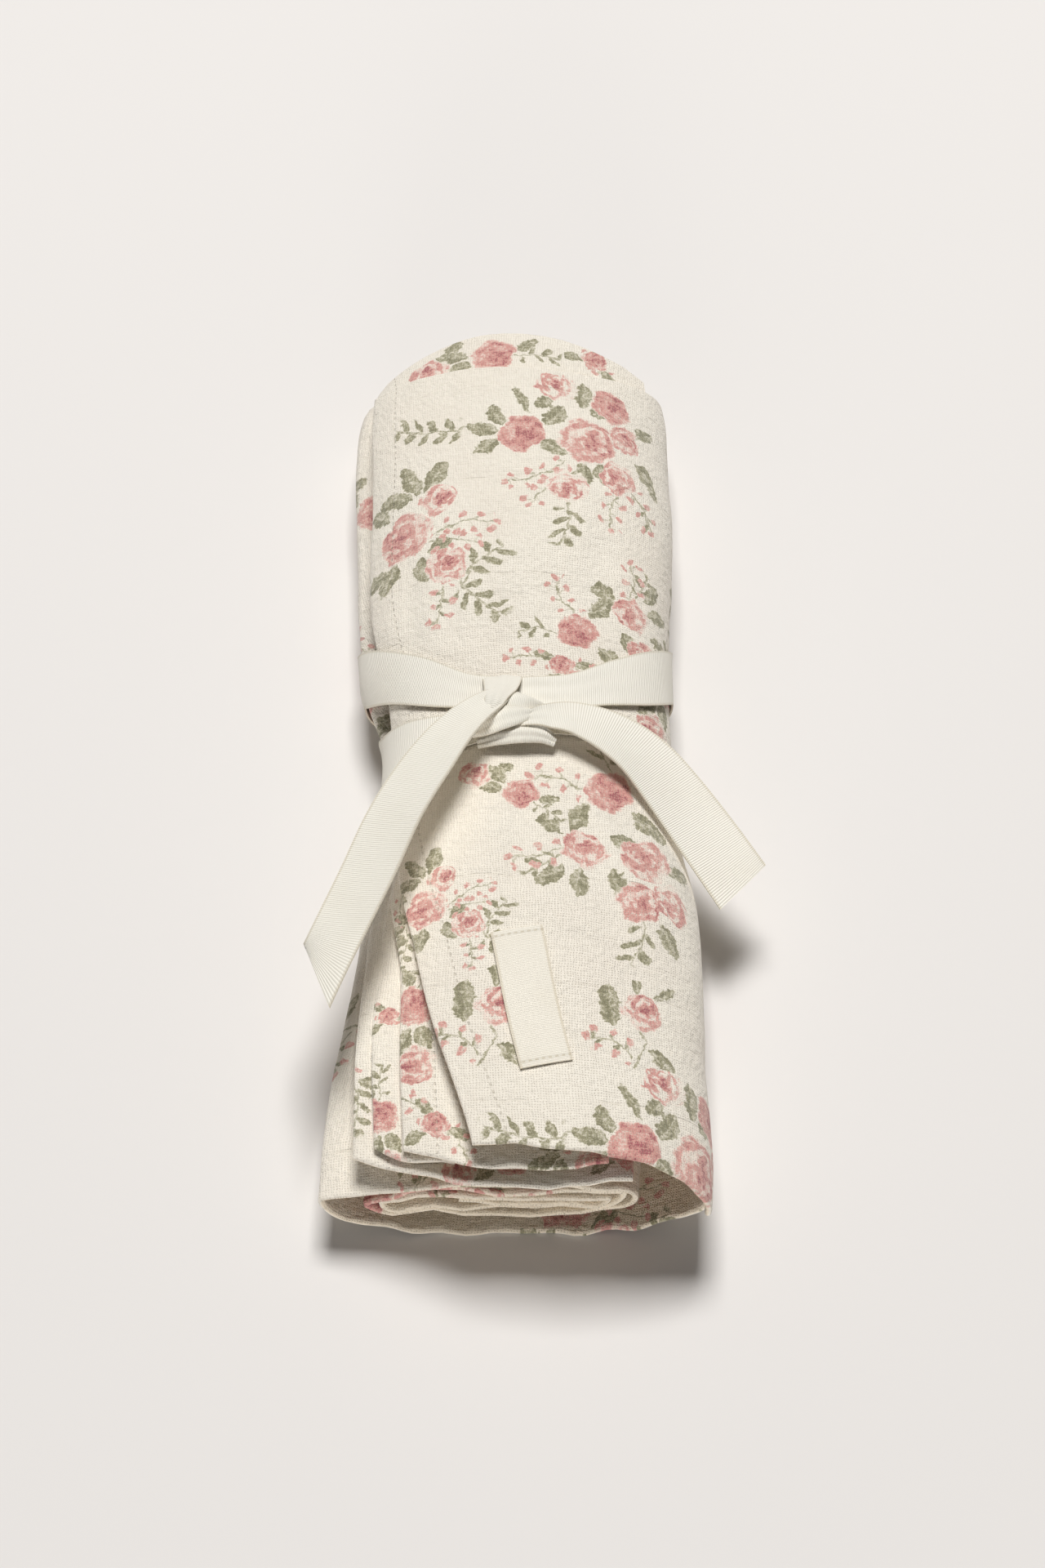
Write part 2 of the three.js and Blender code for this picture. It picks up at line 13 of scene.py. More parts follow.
import bpy
import numpy as np
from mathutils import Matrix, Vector


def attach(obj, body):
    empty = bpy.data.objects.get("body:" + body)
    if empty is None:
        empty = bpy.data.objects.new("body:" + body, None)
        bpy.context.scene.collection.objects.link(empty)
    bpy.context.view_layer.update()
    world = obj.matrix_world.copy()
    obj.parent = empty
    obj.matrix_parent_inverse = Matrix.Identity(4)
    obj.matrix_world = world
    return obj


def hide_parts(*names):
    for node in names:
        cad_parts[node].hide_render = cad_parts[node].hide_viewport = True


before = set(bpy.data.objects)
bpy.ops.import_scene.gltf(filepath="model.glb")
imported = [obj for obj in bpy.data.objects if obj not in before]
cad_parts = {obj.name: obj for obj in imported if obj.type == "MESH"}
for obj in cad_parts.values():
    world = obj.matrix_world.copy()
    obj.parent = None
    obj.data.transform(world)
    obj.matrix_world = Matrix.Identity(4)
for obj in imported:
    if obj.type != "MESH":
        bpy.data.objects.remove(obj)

LOG = logging.getLogger("swaddle")
Grid = np.ndarray
Table = Sequence[tuple[float, ...]]
Colour = tuple[float, float, float]
Disc = tuple[float, float, float]  # x, y and radius
Pair = tuple[float, float]
Point = tuple[Grid, Grid]  # x and z

METRES = 0.001
SMOOTH_BELOW = 55  # degrees between two faces that are shaded as one
AXIS_AT = (-7.213, -2.226)  # the roll's axis and middle, from the part's origin


# ---- Curves ----
def smooth(value: Grid) -> Grid:
    """Eases a value from 0 to 1.

    Args:
        value: any numbers; below 0 they count as 0 and above 1 as 1.

    Returns:
        The eased numbers, from 0 to 1.
    """
    held = np.clip(value, 0, 1)
    return held * held * (3 - 2 * held)


def mix(start: Grid, end: Grid, share: Grid) -> Grid:
    """Blends two values.

    Args:
        start: the value at share 0.
        end: the value at share 1.
        share: how far from start to end.

    Returns:
        The blended value.
    """
    return start + (end - start) * share


def along(table: Table, y: Grid, column: int = 1) -> Grid:
    """Reads a column of a table as a smooth curve.

    Args:
        table: rows that start with y, in rising order.
        y: where the curve is read; past either end it keeps its last value.
        column: the column to read.

    Returns:
        The curve's values at y.
    """
    rows = np.array(table, float)
    ys, values = rows[:, 0], rows[:, column]
    before = np.r_[0, np.arange(len(ys) - 1)]
    after = np.r_[np.arange(1, len(ys)), len(ys) - 1]
    slopes = (values[after] - values[before]) / (ys[after] - ys[before])
    here = np.clip(y, ys[0], ys[-1])
    k = np.clip(np.searchsorted(ys, here, side="right") - 1, 0, len(ys) - 2)
    span = ys[k + 1] - ys[k]
    t = (here - ys[k]) / span
    start = t * (1 - t) ** 2 * span * slopes[k]
    end = t * t * (t - 1) * span * slopes[k + 1]
    return mix(values[k], values[k + 1], smooth(t)) + start + end


def lattice_noise(a: Grid, b: Grid, seed: int) -> Grid:
    """Makes smooth unevenness over a plane, with lumps about one unit wide.

    Args:
        a: the first coordinate.
        b: the second coordinate.
        seed: picks one pattern of lumps.

    Returns:
        Values from -1 to 1.
    """
    size = 64
    lattice = np.random.default_rng(seed).uniform(-1, 1, (size, size))
    i, j = np.floor(a).astype(int), np.floor(b).astype(int)
    s, t = smooth(a - i), smooth(b - j)
    near = mix(lattice[i % size, j % size], lattice[(i + 1) % size, j % size], s)
    far = mix(lattice[i % size, (j + 1) % size], lattice[(i + 1) % size, (j + 1) % size], s)
    return mix(near, far, t)


# ---- The roll's form ----
@dataclass(frozen=True)
class Section:
    """The roll's outline at one or many places along it."""

    left: Grid
    right: Grid
    top: Grid
    base: Grid
    ply: float
    right_fold: float = 0.42  # the two folds' heights, as shares of the roll's
    left_fold: float = 0.37

    @property
    def tip(self) -> Grid:
        """Gives the height of the right fold."""
        return mix(self.base, self.top, self.right_fold)

    @property
    def tip_left(self) -> Grid:
        """Gives the height of the left fold."""
        return mix(self.base, self.top, self.left_fold)

    def level(self, share: Grid) -> Grid:
        """Gives the height of a share of the way from the lowest to the highest ply."""
        return mix(self.base + self.ply / 2, self.top - self.ply / 2, share)


@dataclass(frozen=True)
class RollForm:
    """The flattened roll: its outline along y and the curve of its section."""

    ply: float = 1.9
    crowding: float = 1.25
    roundness: float = 2.2
    flat_spot: float = 1.04
    fold_share: float = 0.45  # an inner fold's height, as a share of the way between its two passes'
    open_from: float = -30
    open_to: float = -150
    open_curve: float = 1.4
    # y, reach to the left, reach to the right, top, underside
    outline: Table = (
        (-158, -55.6, 54.8, 51.2, 0),
        (-150, -55.6, 55.4, 51.6, 0),
        (-134, -54.7, 55.9, 52, 0),
        (-107, -51.2, 55.5, 52.2, 0),
        (-79, -47.8, 55, 51.6, 0),
        (-54, -44.9, 53.6, 50.6, 0.2),
        (-36, -42.2, 51.4, 49.4, 1),
        (-21, -40.2, 49.4, 48.2, 2.1),
        (-6, -39.4, 48.2, 47.4, 2.3),
        (8, -40.2, 47.8, 47.2, 2.3),
        (19, -43.8, 47.6, 47.6, 2.3),
        (29, -46.6, 47.8, 48.2, 2.3),
        (40, -47.4, 48.2, 49, 2.2),
        (52, -48.6, 49.2, 50, 1),
        (76, -50.6, 50, 51.4, 0),
        (108, -52.2, 50.4, 52, 0),
        (128, -52.2, 50.3, 51.6, 0),
        (141, -51.4, 49.8, 50.8, 0.6),
        (160, -47, 46.4, 48.2, 4),
    )

    def section(self, y: Grid) -> Section:
        """Reads the outline at y."""
        left, right, top, lift = (along(self.outline, y, column) for column in range(1, 5))
        return Section(left, right, top, np.maximum(0, lift), self.ply)

    def opened(self, pair: Sequence[float], y: Grid) -> Grid:
        """Blends a pair of values by how open the plies stand.

        Args:
            pair: the value at the open end, then the value in the closed roll.
            y: where along the roll.

        Returns:
            The blended value.
        """
        openness = smooth((y - self.open_from) / (self.open_to - self.open_from)) ** self.open_curve
        return mix(pair[1], pair[0], openness)

    def quarter(self, crown: tuple, fold: tuple, turn: Grid, flat: float = 1) -> Point:
        """Gives a point on a quarter of the section, whose steps are closer beside the fold.

        Args:
            crown: x and z at turn 0.
            fold: x and z at turn 1.
            turn: how far round the quarter.
            flat: above 1, cuts the crown flat.

        Returns:
            The point's x and z.
        """
        angle = (1 - (1 - np.clip(turn, 0, 1)) ** self.crowding) * math.pi / 2
        out = np.sin(angle) ** (2 / self.roundness)
        up = np.minimum(1, flat * np.clip(np.cos(angle), 0, 1) ** (2 / self.roundness))
        return mix(crown[0], fold[0], out), mix(fold[1], crown[1], up)

    def turn_at(self, share: Grid) -> Grid:
        """Gives the turn of a quarter at which it reaches a share of its width."""
        angle = np.arcsin(np.clip(share, 0, 1) ** (self.roundness / 2))
        return 1 - (1 - angle / (math.pi / 2)) ** (1 / self.crowding)

    def fold(self, y: Grid, side: int, inset: Grid, crowns: Point) -> Point:
        """Gives the x and z of a fold between two passes of the wound strip.

        Args:
            y: where along the roll.
            side: -1 at the left, 1 at the right.
            inset: how far the fold lies inside the outline.
            crowns: the two passes' heights, as shares of the roll's.

        Returns:
            The fold's x and z.
        """
        s = self.section(y)
        x = s.left + self.ply / 2 + inset if side < 0 else s.right - self.ply / 2 - inset
        return x, mix(s.level(crowns[0]), s.level(crowns[1]), self.fold_share)

    def top_ply(self, y: Grid, share: Grid) -> Point:
        """Gives the top ply's middle at a share of its half-width, -1 at the left and 1 at the right."""
        return self.over(y, share, -self.ply / 2)

    def over(self, y: Grid, share: Grid, lift: float) -> Point:
        """Gives a point over the top of the roll.

        Args:
            y: where along the roll.
            share: how far out, -1 at the left and 1 at the right.
            lift: how far outside the outline the point lies.

        Returns:
            The point's x and z.
        """
        s = self.section(y)
        on_left = np.less(share, 0)
        side = np.where(on_left, s.left - lift, s.right + lift)
        tip = np.where(on_left, s.tip_left, s.tip)
        return self.quarter((0, s.top + lift), (side, tip), self.turn_at(np.abs(share)))

    def settle(self, points: Grid) -> Grid:
        """Moves points by the roll's slow unevenness, which dies out towards the floor.

        Args:
            points: rows of x, y and z.

        Returns:
            The moved points.
        """
        side, rise, length, full_above = 0.5, 0.5, 80, 30
        x, y, z = points[..., 0], points[..., 1], points[..., 2]
        share = smooth(z / full_above)

        def swing(way: Grid, start: float) -> Grid:
            """Gives a wave along one way."""
            return np.sin(way * 2 * math.pi / length + start)

        moved = points.copy()
        moved[..., 0] += side * share * swing(y, 0.8)
        moved[..., 2] += rise * share * (swing(x * 1.3 + y * 0.7, 0) + swing(y - x * 0.6, 2))
        return moved


# ---- Sheets ----
@dataclass
class Sheet:
    """A thickened grid of points, with its cloth coordinates in millimetres."""

    middle: Grid  # rows along y, columns across
    thickness: Grid
    cloth: Grid  # u and v of each point
    hem: Grid  # distance from the free edge and from the near end
    closed: bool = False  # the first row follows the last

    def normals(self) -> Grid:
        """Gives the unit normals of the grid."""
        if self.closed:
            down = np.roll(self.middle, -1, 0) - np.roll(self.middle, 1, 0)
        else:
            down = np.gradient(self.middle, axis=0)
        out = np.cross(np.gradient(self.middle, axis=1), down)
        return out / np.maximum(np.linalg.norm(out, axis=2, keepdims=True), 1e-9)

    def moved(self, height: Grid) -> "Sheet":
        """Gives the sheet with its points moved along their normals."""
        return replace(self, middle=self.middle + self.normals() * height[..., None])

    def faces(self) -> Grid:
        """Gives the four corners of each face: those of the upper side, the lower side and the rims."""
        rows, columns = self.middle.shape[:2]
        number = np.arange(rows * columns).reshape(rows, columns)
        if self.closed:
            number = np.vstack([number, number[:1]])
        under = number + rows * columns
        a, b, c, d = number[:-1, :-1], number[:-1, 1:], number[1:, 1:], number[1:, :-1]
        upper = np.stack([a, b, c, d], -1).reshape(-1, 4)
        e, f, g, h = under[:-1, :-1], under[:-1, 1:], under[1:, 1:], under[1:, :-1]
        lower = np.stack([e, h, g, f], -1).reshape(-1, 4)
        rims = []
        edges = [(number[:, 0], under[:, 0], True), (number[:, -1], under[:, -1], False)]
        if not self.closed:
            edges += [(number[0], under[0], False), (number[-1], under[-1], True)]
        for top, bottom, forward in edges:
            rim = np.stack([top[:-1], top[1:], bottom[1:], bottom[:-1]], -1)
            rims.append(rim if forward else rim[:, ::-1])
        return np.concatenate([upper, lower, *rims])


def mesh_of(name: str, sheets: Sequence[Sheet], form: RollForm) -> bpy.types.Object:
    """Makes one object of several sheets.

    Args:
        name: the object's name.
        sheets: the sheets that it joins.
        form: the roll, whose unevenness they follow.

    Returns:
        The object, with the UV maps "cloth" and "hem"; a sheet's inner side has its hem distances negative.
    """
    points, faces, cloth, hem = [], [], [], []
    count = 0
    for sheet in sheets:
        offset = sheet.normals() * sheet.thickness[..., None] / 2
        for side in (1, -1):
            points.append((sheet.middle + offset * side).reshape(-1, 3))
            cloth.append(sheet.cloth.reshape(-1, 2))
            hem.append((sheet.hem * (side, 1)).reshape(-1, 2))
        faces.append(sheet.faces() + count)
        count += 2 * sheet.thickness.size
    settled = form.settle(np.concatenate(points))
    settled[:, :2] += AXIS_AT
    settled[:, 2] = np.maximum(settled[:, 2], 0)
    corners = np.concatenate(faces)
    mesh = bpy.data.meshes.new(name)
    mesh.from_pydata((settled * METRES).tolist(), [], corners.tolist())
    mesh.update()
    for layer, values in (("cloth", np.concatenate(cloth)), ("hem", np.concatenate(hem))):
        mesh.uv_layers.new(name=layer).uv.foreach_set("vector", values[corners].ravel())
    piece = bpy.data.objects.new(name, mesh)
    bpy.context.scene.collection.objects.link(piece)
    for other in bpy.context.selected_objects:
        other.select_set(False)
    piece.select_set(True)
    bpy.context.view_layer.objects.active = piece
    bpy.ops.object.shade_smooth_by_angle(angle=math.radians(SMOOTH_BELOW))
    return piece


# ---- Shader graphs ----
def _maths(operation: str, swapped: bool = False) -> Callable[..., "Wire"]:
    """Makes a method of Wire that adds a Math node.

    Args:
        operation: the node's operation.
        swapped: whether the wire itself is the second input.

    Returns:
        The method.
    """

    def result(wire: "Wire", *others: "Term") -> "Wire":
        """Adds the node and gives its result."""
        values = (*others, wire) if swapped else (wire, *others)
        return wire.graph.math(operation, *values)

    return result


class Wire:
    """A shader value that arithmetic can be written with; its size is its value without the sign."""

    __add__ = _maths("ADD")
    __sub__ = _maths("SUBTRACT")
    __rsub__ = _maths("SUBTRACT", swapped=True)
    __mul__ = _maths("MULTIPLY")
    __truediv__ = _maths("DIVIDE")
    __pow__ = _maths("POWER")
    sin = _maths("SINE")
    cos = _maths("COSINE")
    size = _maths("ABSOLUTE")
    root = _maths("SQRT")
    max = _maths("MAXIMUM")
    min = _maths("MINIMUM")

    def __init__(self, graph: "Graph", socket: bpy.types.NodeSocket) -> None:
        """Keeps the socket that gives the value."""
        self.graph = graph
        self.socket = socket

    def eased(self, low: "Term", high: "Term", start: float = 0, end: float = 1) -> "Wire":
        """Eases from start to end while the value goes from low to high.

        Args:
            low: the value that gives start.
            high: the value that gives end.
            start: the first result.
            end: the last result.

        Returns:
            The eased value.
        """
        node = self.graph.node("ShaderNodeMapRange", interpolation_type="SMOOTHSTEP")
        self.graph.fill(node, Value=self, From_Min=low, From_Max=high, To_Min=start, To_Max=end)
        return Wire(self.graph, node.outputs["Result"])


Term = Wire | float


class Graph:
    """Adds linked nodes to one node tree."""

    def __init__(self, tree: bpy.types.NodeTree) -> None:
        """Keeps the tree."""
        self.tree = tree

    def node(self, kind: str, **settings: object) -> bpy.types.Node:
        """Adds a node with its settings."""
        node = self.tree.nodes.new(kind)
        for name, value in settings.items():
            setattr(node, name, value)
        return node

    def put(self, socket: bpy.types.NodeSocket, value: object) -> None:
        """Links a wire into a socket, or sets the socket's own value."""
        if isinstance(value, Wire):
            self.tree.links.new(value.socket, socket)
        else:
            socket.default_value = value

    def fill(self, node: bpy.types.Node, **values: object) -> None:
        """Puts values into a node's inputs by name, with _ for a space."""
        for name, value in values.items():
            self.put(node.inputs[name.replace("_", " ")], value)

    def math(self, operation: str, *values: Term) -> Wire:
        """Adds a Math node.

        Args:
            operation: the node's operation.
            values: its inputs, in order.

        Returns:
            Its result.
        """
        node = self.node("ShaderNodeMath", operation=operation)
        for socket, value in zip(node.inputs, values):
            self.put(socket, value)
        return Wire(self, node.outputs[0])

    def split(self, vector: Wire) -> tuple[Wire, Wire]:
        """Gives a vector's x and y."""
        node = self.node("ShaderNodeSeparateXYZ")
        self.put(node.inputs[0], vector)
        return Wire(self, node.outputs["X"]), Wire(self, node.outputs["Y"])

    def vector(self, x: Term, y: Term, z: Term = 0.0) -> Wire:
        """Joins x, y and z."""
        node = self.node("ShaderNodeCombineXYZ")
        for socket, value in zip(node.inputs, (x, y, z)):
            self.put(socket, value)
        return Wire(self, node.outputs[0])

    def noise(
        self, vector: Wire, scale: float, detail: float = 1, output: str = "Fac", dimensions: str = "2D"
    ) -> Wire:
        """Adds a Noise Texture.

        Args:
            vector: where it is read.
            scale: lumps in each unit.
            detail: how many finer layers it has.
            output: "Fac" or "Color".
            dimensions: "2D" or "3D".

        Returns:
            The noise, from 0 to 1.
        """
        node = self.node("ShaderNodeTexNoise", noise_dimensions=dimensions)
        self.fill(node, Vector=vector, Scale=scale, Detail=detail)
        return Wire(self, node.outputs[output])

    def blend(self, share: Term, first: object, second: object) -> Wire:
        """Blends two colours.

        Args:
            share: how much of the second.
            first: a wire or a colour.
            second: a wire or a colour.

        Returns:
            The blended colour.
        """
        node = self.node("ShaderNodeMix", data_type="RGBA")
        self.put(node.inputs["Factor"], share)
        for name, value in (("A", first), ("B", second)):
            socket = next(s for s in node.inputs if s.name == name and s.type == "RGBA")
            self.put(socket, value if isinstance(value, Wire) else (*value, 1))
        return Wire(self, next(s for s in node.outputs if s.type == "RGBA"))

    def uv(self, name: str) -> Wire:
        """Reads one of the piece's UV maps."""
        return Wire(self, self.node("ShaderNodeUVMap", uv_map=name).outputs[0])

    def placed(self, group: bpy.types.NodeTree, **values: object) -> dict[str, Wire]:
        """Places a node group.

        Args:
            group: the group.
            values: its inputs by name, with _ for a space.

        Returns:
            Its outputs by name.
        """
        node = self.node("ShaderNodeGroup", node_tree=group)
        self.fill(node, **values)
        return {socket.name: Wire(self, socket) for socket in node.outputs}

    def finish(
        self, shader: bpy.types.Node, height: Wire, relief: float, strength: float, **inputs: object
    ) -> None:
        """Sets up a Principled BSDF that has a relief.

        Args:
            shader: the Principled BSDF.
            height: the relief's height, in its own units.
            relief: the size of one such unit, in metres.
            strength: how strongly the relief shows, from 0 to 1.
            inputs: the shader's other inputs by name, with _ for a space.
        """
        bump = self.node("ShaderNodeBump")
        self.fill(bump, Height=height, Distance=relief, Strength=strength)
        self.fill(shader, Normal=Wire(self, bump.outputs[0]), **inputs)


def new_group(
    name: str, inputs: Sequence[str], outputs: Sequence[str]
) -> tuple[Graph, dict[str, Wire], Callable]:
    """Starts a shader node group. An input named Vector or Normal is a vector, and the others are numbers.

    Args:
        name: the group's name.
        inputs: the names of its inputs.
        outputs: the names of its outputs, all numbers.

    Returns:
        The graph, its inputs as wires, and a function that links the outputs and gives the finished group.
    """
    tree = bpy.data.node_groups.new(name, "ShaderNodeTree")
    for item in inputs:
        kind = "NodeSocketVector" if item in ("Vector", "Normal") else "NodeSocketFloat"
        tree.interface.new_socket(item, in_out="INPUT", socket_type=kind)
    for item in outputs:
        tree.interface.new_socket(item, in_out="OUTPUT", socket_type="NodeSocketFloat")
    graph = Graph(tree)
    entry = graph.node("NodeGroupInput")
    wires = {item: Wire(graph, entry.outputs[item]) for item in inputs}

    def finished(**results: Wire) -> bpy.types.NodeTree:
        """Links the outputs and gives the group."""
        graph.fill(graph.node("NodeGroupOutput"), **results)
        return tree

    return graph, wires, finished


# ---- The print ----
@dataclass(frozen=True)
class Rose:
    """A printed rose: its middle, its radius, how deep its ink is from 0 to 1, and its turn in degrees."""

    x: float
    y: float
    radius: float
    depth: float
    turn: float = 0

    def discs(self) -> list[Disc]:
        """Gives the disc that it fills."""
        return [(self.x, self.y, self.radius)]


@dataclass(frozen=True)
class Leaf:
    """A printed leaf: its stalk end, the way it points in degrees, its length and its width."""

    x: float
    y: float
    turn: float
    length: float
    width: float

    def discs(self) -> list[Disc]:
        """Gives two discs that cover it."""
        return discs_along(self, [self.length * share for share in (0.3, 0.75)], self.width / 2)


@dataclass(frozen=True)
class Twig:
    """A printed twig: its root, the way it points, its length, its bend, its leaflets and its buds."""

    x: float
    y: float
    turn: float
    length: float
    bend: float
    leaflet: float
    bud_radius: float = 0
    step: ClassVar[float] = 4  # from disc to disc

    def discs(self) -> list[Disc]:
        """Gives discs along it, wide enough for its leaflets."""
        return discs_along(self, np.arange(0, self.length + self.step, self.step), self.leaflet * 0.6 + 2.6)


Motif = Rose | Leaf | Twig


def discs_along(motif: Leaf | Twig, reaches: Sequence[float], radius: float) -> list[Disc]:
    """Gives discs along the line that a motif points along.

    Args:
        motif: the leaf or twig.
        reaches: how far out each disc's middle lies.
        radius: the discs' radius.

    Returns:
        The discs.
    """
    way = math.radians(motif.turn)
    return [(motif.x + r * math.cos(way), motif.y + r * math.sin(way), radius) for r in reaches]


class Spray(Enum):
    """The printed sprays, each drawn about its own middle in millimetres."""

    GARLAND = (
        (Rose(16, 6, 6.4, 0.5, 40), Rose(3, 1, 10.2, 0.4, 20), Rose(-18, 3, 8, 0.95),
         Rose(12, 19, 7.4, 0.85, 60), Rose(-6, 24, 7, 0.1, 140), Rose(13, -12, 7, 0.3, 220),
         Rose(-4, -19, 7, 0.15, 300)),
        (Leaf(2, 16, 85, 12, 7), Leaf(4, 13, 30, 10, 7), Leaf(-10, 6, 55, 11, 7.4),
         Leaf(-12, 0, -35, 10, 7.6), Leaf(-24, 7, 115, 9, 5.6), Leaf(-25, 4, 165, 11, 6),
         Leaf(-25, 1, 215, 10, 5.6), Leaf(-15, 11, 112, 13, 4), Leaf(-11, 13, 65, 8, 4),
         Leaf(2, -9, -100, 10, 7.4), Leaf(6, -8, -62, 10, 7.4), Leaf(20, 10, 30, 9, 6),
         Leaf(20, -2, -50, 12, 6.2), Leaf(25, -6, -72, 9, 4.4), Leaf(-8, 14, 150, 6, 5)),
        (Twig(-4, -9, 202, 21, 2, 0, 1.4), Twig(-3, -13, 228, 19, -1, 0, 1.3),
         Twig(14, -18, 258, 15, -2, 0, 1.3), Twig(18, -16, 300, 14, 1, 2.4, 1.2),
         Twig(-4, -25, 262, 17, 2, 5), Twig(-33, 7, 172, 26, 3, 5.4)),
    )
    CLUSTER = (
        (Rose(5, 10, 6.8, 0.25, 40), Rose(-5, -2, 9.6, 0.5, 200), Rose(9, -17, 7.2, 0.3, 100)),
        (Leaf(-1, 14, 115, 14, 6.8), Leaf(1, 14, 62, 14, 7), Leaf(-3, 13, 170, 13, 6.6),
         Leaf(-11, 7, 140, 10, 6.4), Leaf(-8, -11, 245, 12, 6.6), Leaf(0, -12, -70, 10, 7),
         Leaf(-11, -12, 205, 11, 6), Leaf(3, -10, 20, 8, 6)),
        (Twig(4, -4, 10, 20, 1.5, 0, 1.5), Twig(3, -7, -8, 16, 1, 0, 1.3), Twig(14, -25, 48, 20, 2, 5.4),
         Twig(13, -22, -44, 20, -2, 5.6), Twig(8, -24, 262, 14, 1, 2.4, 1.6)),
    )
    BRANCH = (
        (Rose(-4, 15, 7.4, 0.95, 30), Rose(-11, -6, 6.8, 0.35, 90), Rose(6, -7, 8, 0.35, 160),
         Rose(3, -22, 6.8, 0.45, 10), Rose(13, -19, 6.4, 0.25, 250)),
        (Leaf(-10, 10, 240, 12, 7), Leaf(2, 10, -35, 14, 6.8), Leaf(-4, -1, -20, 10, 6.6),
         Leaf(12, -9, 20, 10, 6), Leaf(-17, -1, 125, 9, 6.4), Leaf(-17, -12, 225, 11, 5.4),
         Leaf(-13, -12, 268, 11, 5.2), Leaf(9, -27, -60, 11, 5.6), Leaf(-4, -12, -75, 10, 6)),
        (Twig(-16, -5, 195, 16, 2, 0, 1.4), Twig(-11, 14, 165, 15, -1.5, 0, 1.4),
         Twig(4, -28, 255, 14, 1, 4.8), Twig(-17, -9, 215, 13, -1, 3.8), Twig(-3, 22, 100, 12, 2, 4.2)),
    )
    STEM = (
        (Rose(6, 3, 6.6, 0.3, 70),),
        (Leaf(-2, -4, 100, 15, 6.8), Leaf(5, 9, 110, 8, 4.6), Leaf(10, 8, 40, 8, 4),
         Leaf(7, -9, -35, 12, 5)),
        (Twig(5, -2, 262, 15, 2, 0), Twig(3, -13, 160, 14, -2, 2.4, 1.5)),
    )
    SPRIG = (
        (),
        (Leaf(2, 1, 120, 10, 5.4), Leaf(3, 0, 60, 9, 5), Leaf(1, -2, 250, 10, 5.4), Leaf(-3, 1, 150, 9, 5)),
        (Twig(1, 0, 178, 21, 2, 5.4), Twig(2, 0, 20, 17, 2, 0, 1.4)),
    )
    PAIR = (
        (Rose(10, 1, 7.8, 0.8, 10), Rose(-11, -2, 7.2, 0.35, 120)),
        (Leaf(2, 1, 160, 11, 6.4), Leaf(3, -2, 200, 10, 6), Leaf(-5, 4, 60, 9, 5.6), Leaf(17, 3, 30, 9, 5)),
        (Twig(17, 0, -4, 15, 1, 3.8),),
    )
    BUDS = (
        (Rose(0, 0, 4.6, 0.75, 10),),
        (Leaf(-3, 2, 140, 8, 4.6), Leaf(3, 2, 60, 8, 4.4), Leaf(0, -4, 262, 9, 4.6)),
        (Twig(0, -4, 225, 13, 1.5, 0, 1.5), Twig(2, 4, 75, 14, -1.5, 0, 1.5)),
    )


@dataclass(frozen=True)
class Place:
    """Where a spray is printed: its middle in cloth coordinates, its turn in degrees and its size."""

    spray: Spray
    u: float
    v: float
    turn: float = 0
    size: float = 1
    mirrored: bool = False
    reach: ClassVar[float] = 70  # no motif lies farther out in any spray
    far_off: ClassVar[float] = 1e3

    def local(self, cloth: Grid) -> Grid:
        """Gives cloth coordinates about the spray's own middle."""
        du, dv = cloth[..., 0] - self.u, cloth[..., 1] - self.v
        angle = math.radians(self.turn)
        x = (du * math.cos(angle) + dv * math.sin(angle)) / self.size
        y = (dv * math.cos(angle) - du * math.sin(angle)) / self.size
        return np.stack([-x if self.mirrored else x, y], -1)

    def distance(self, cloth: Grid) -> Grid:
        """Gives how far points lie outside the spray's nearest motif; past its reach they are far off."""
        local = self.local(cloth)
        outside = np.full(len(cloth), self.far_off)
        close = np.hypot(local[:, 0], local[:, 1]) < self.reach
        near = local[close]
        best = outside[close]
        for motif in (motif for kind in self.spray.value for motif in kind):
            for x, y, radius in motif.discs():
                best = np.minimum(best, np.hypot(near[:, 0] - x, near[:, 1] - y) - radius)
        outside[close] = best * self.size
        return outside


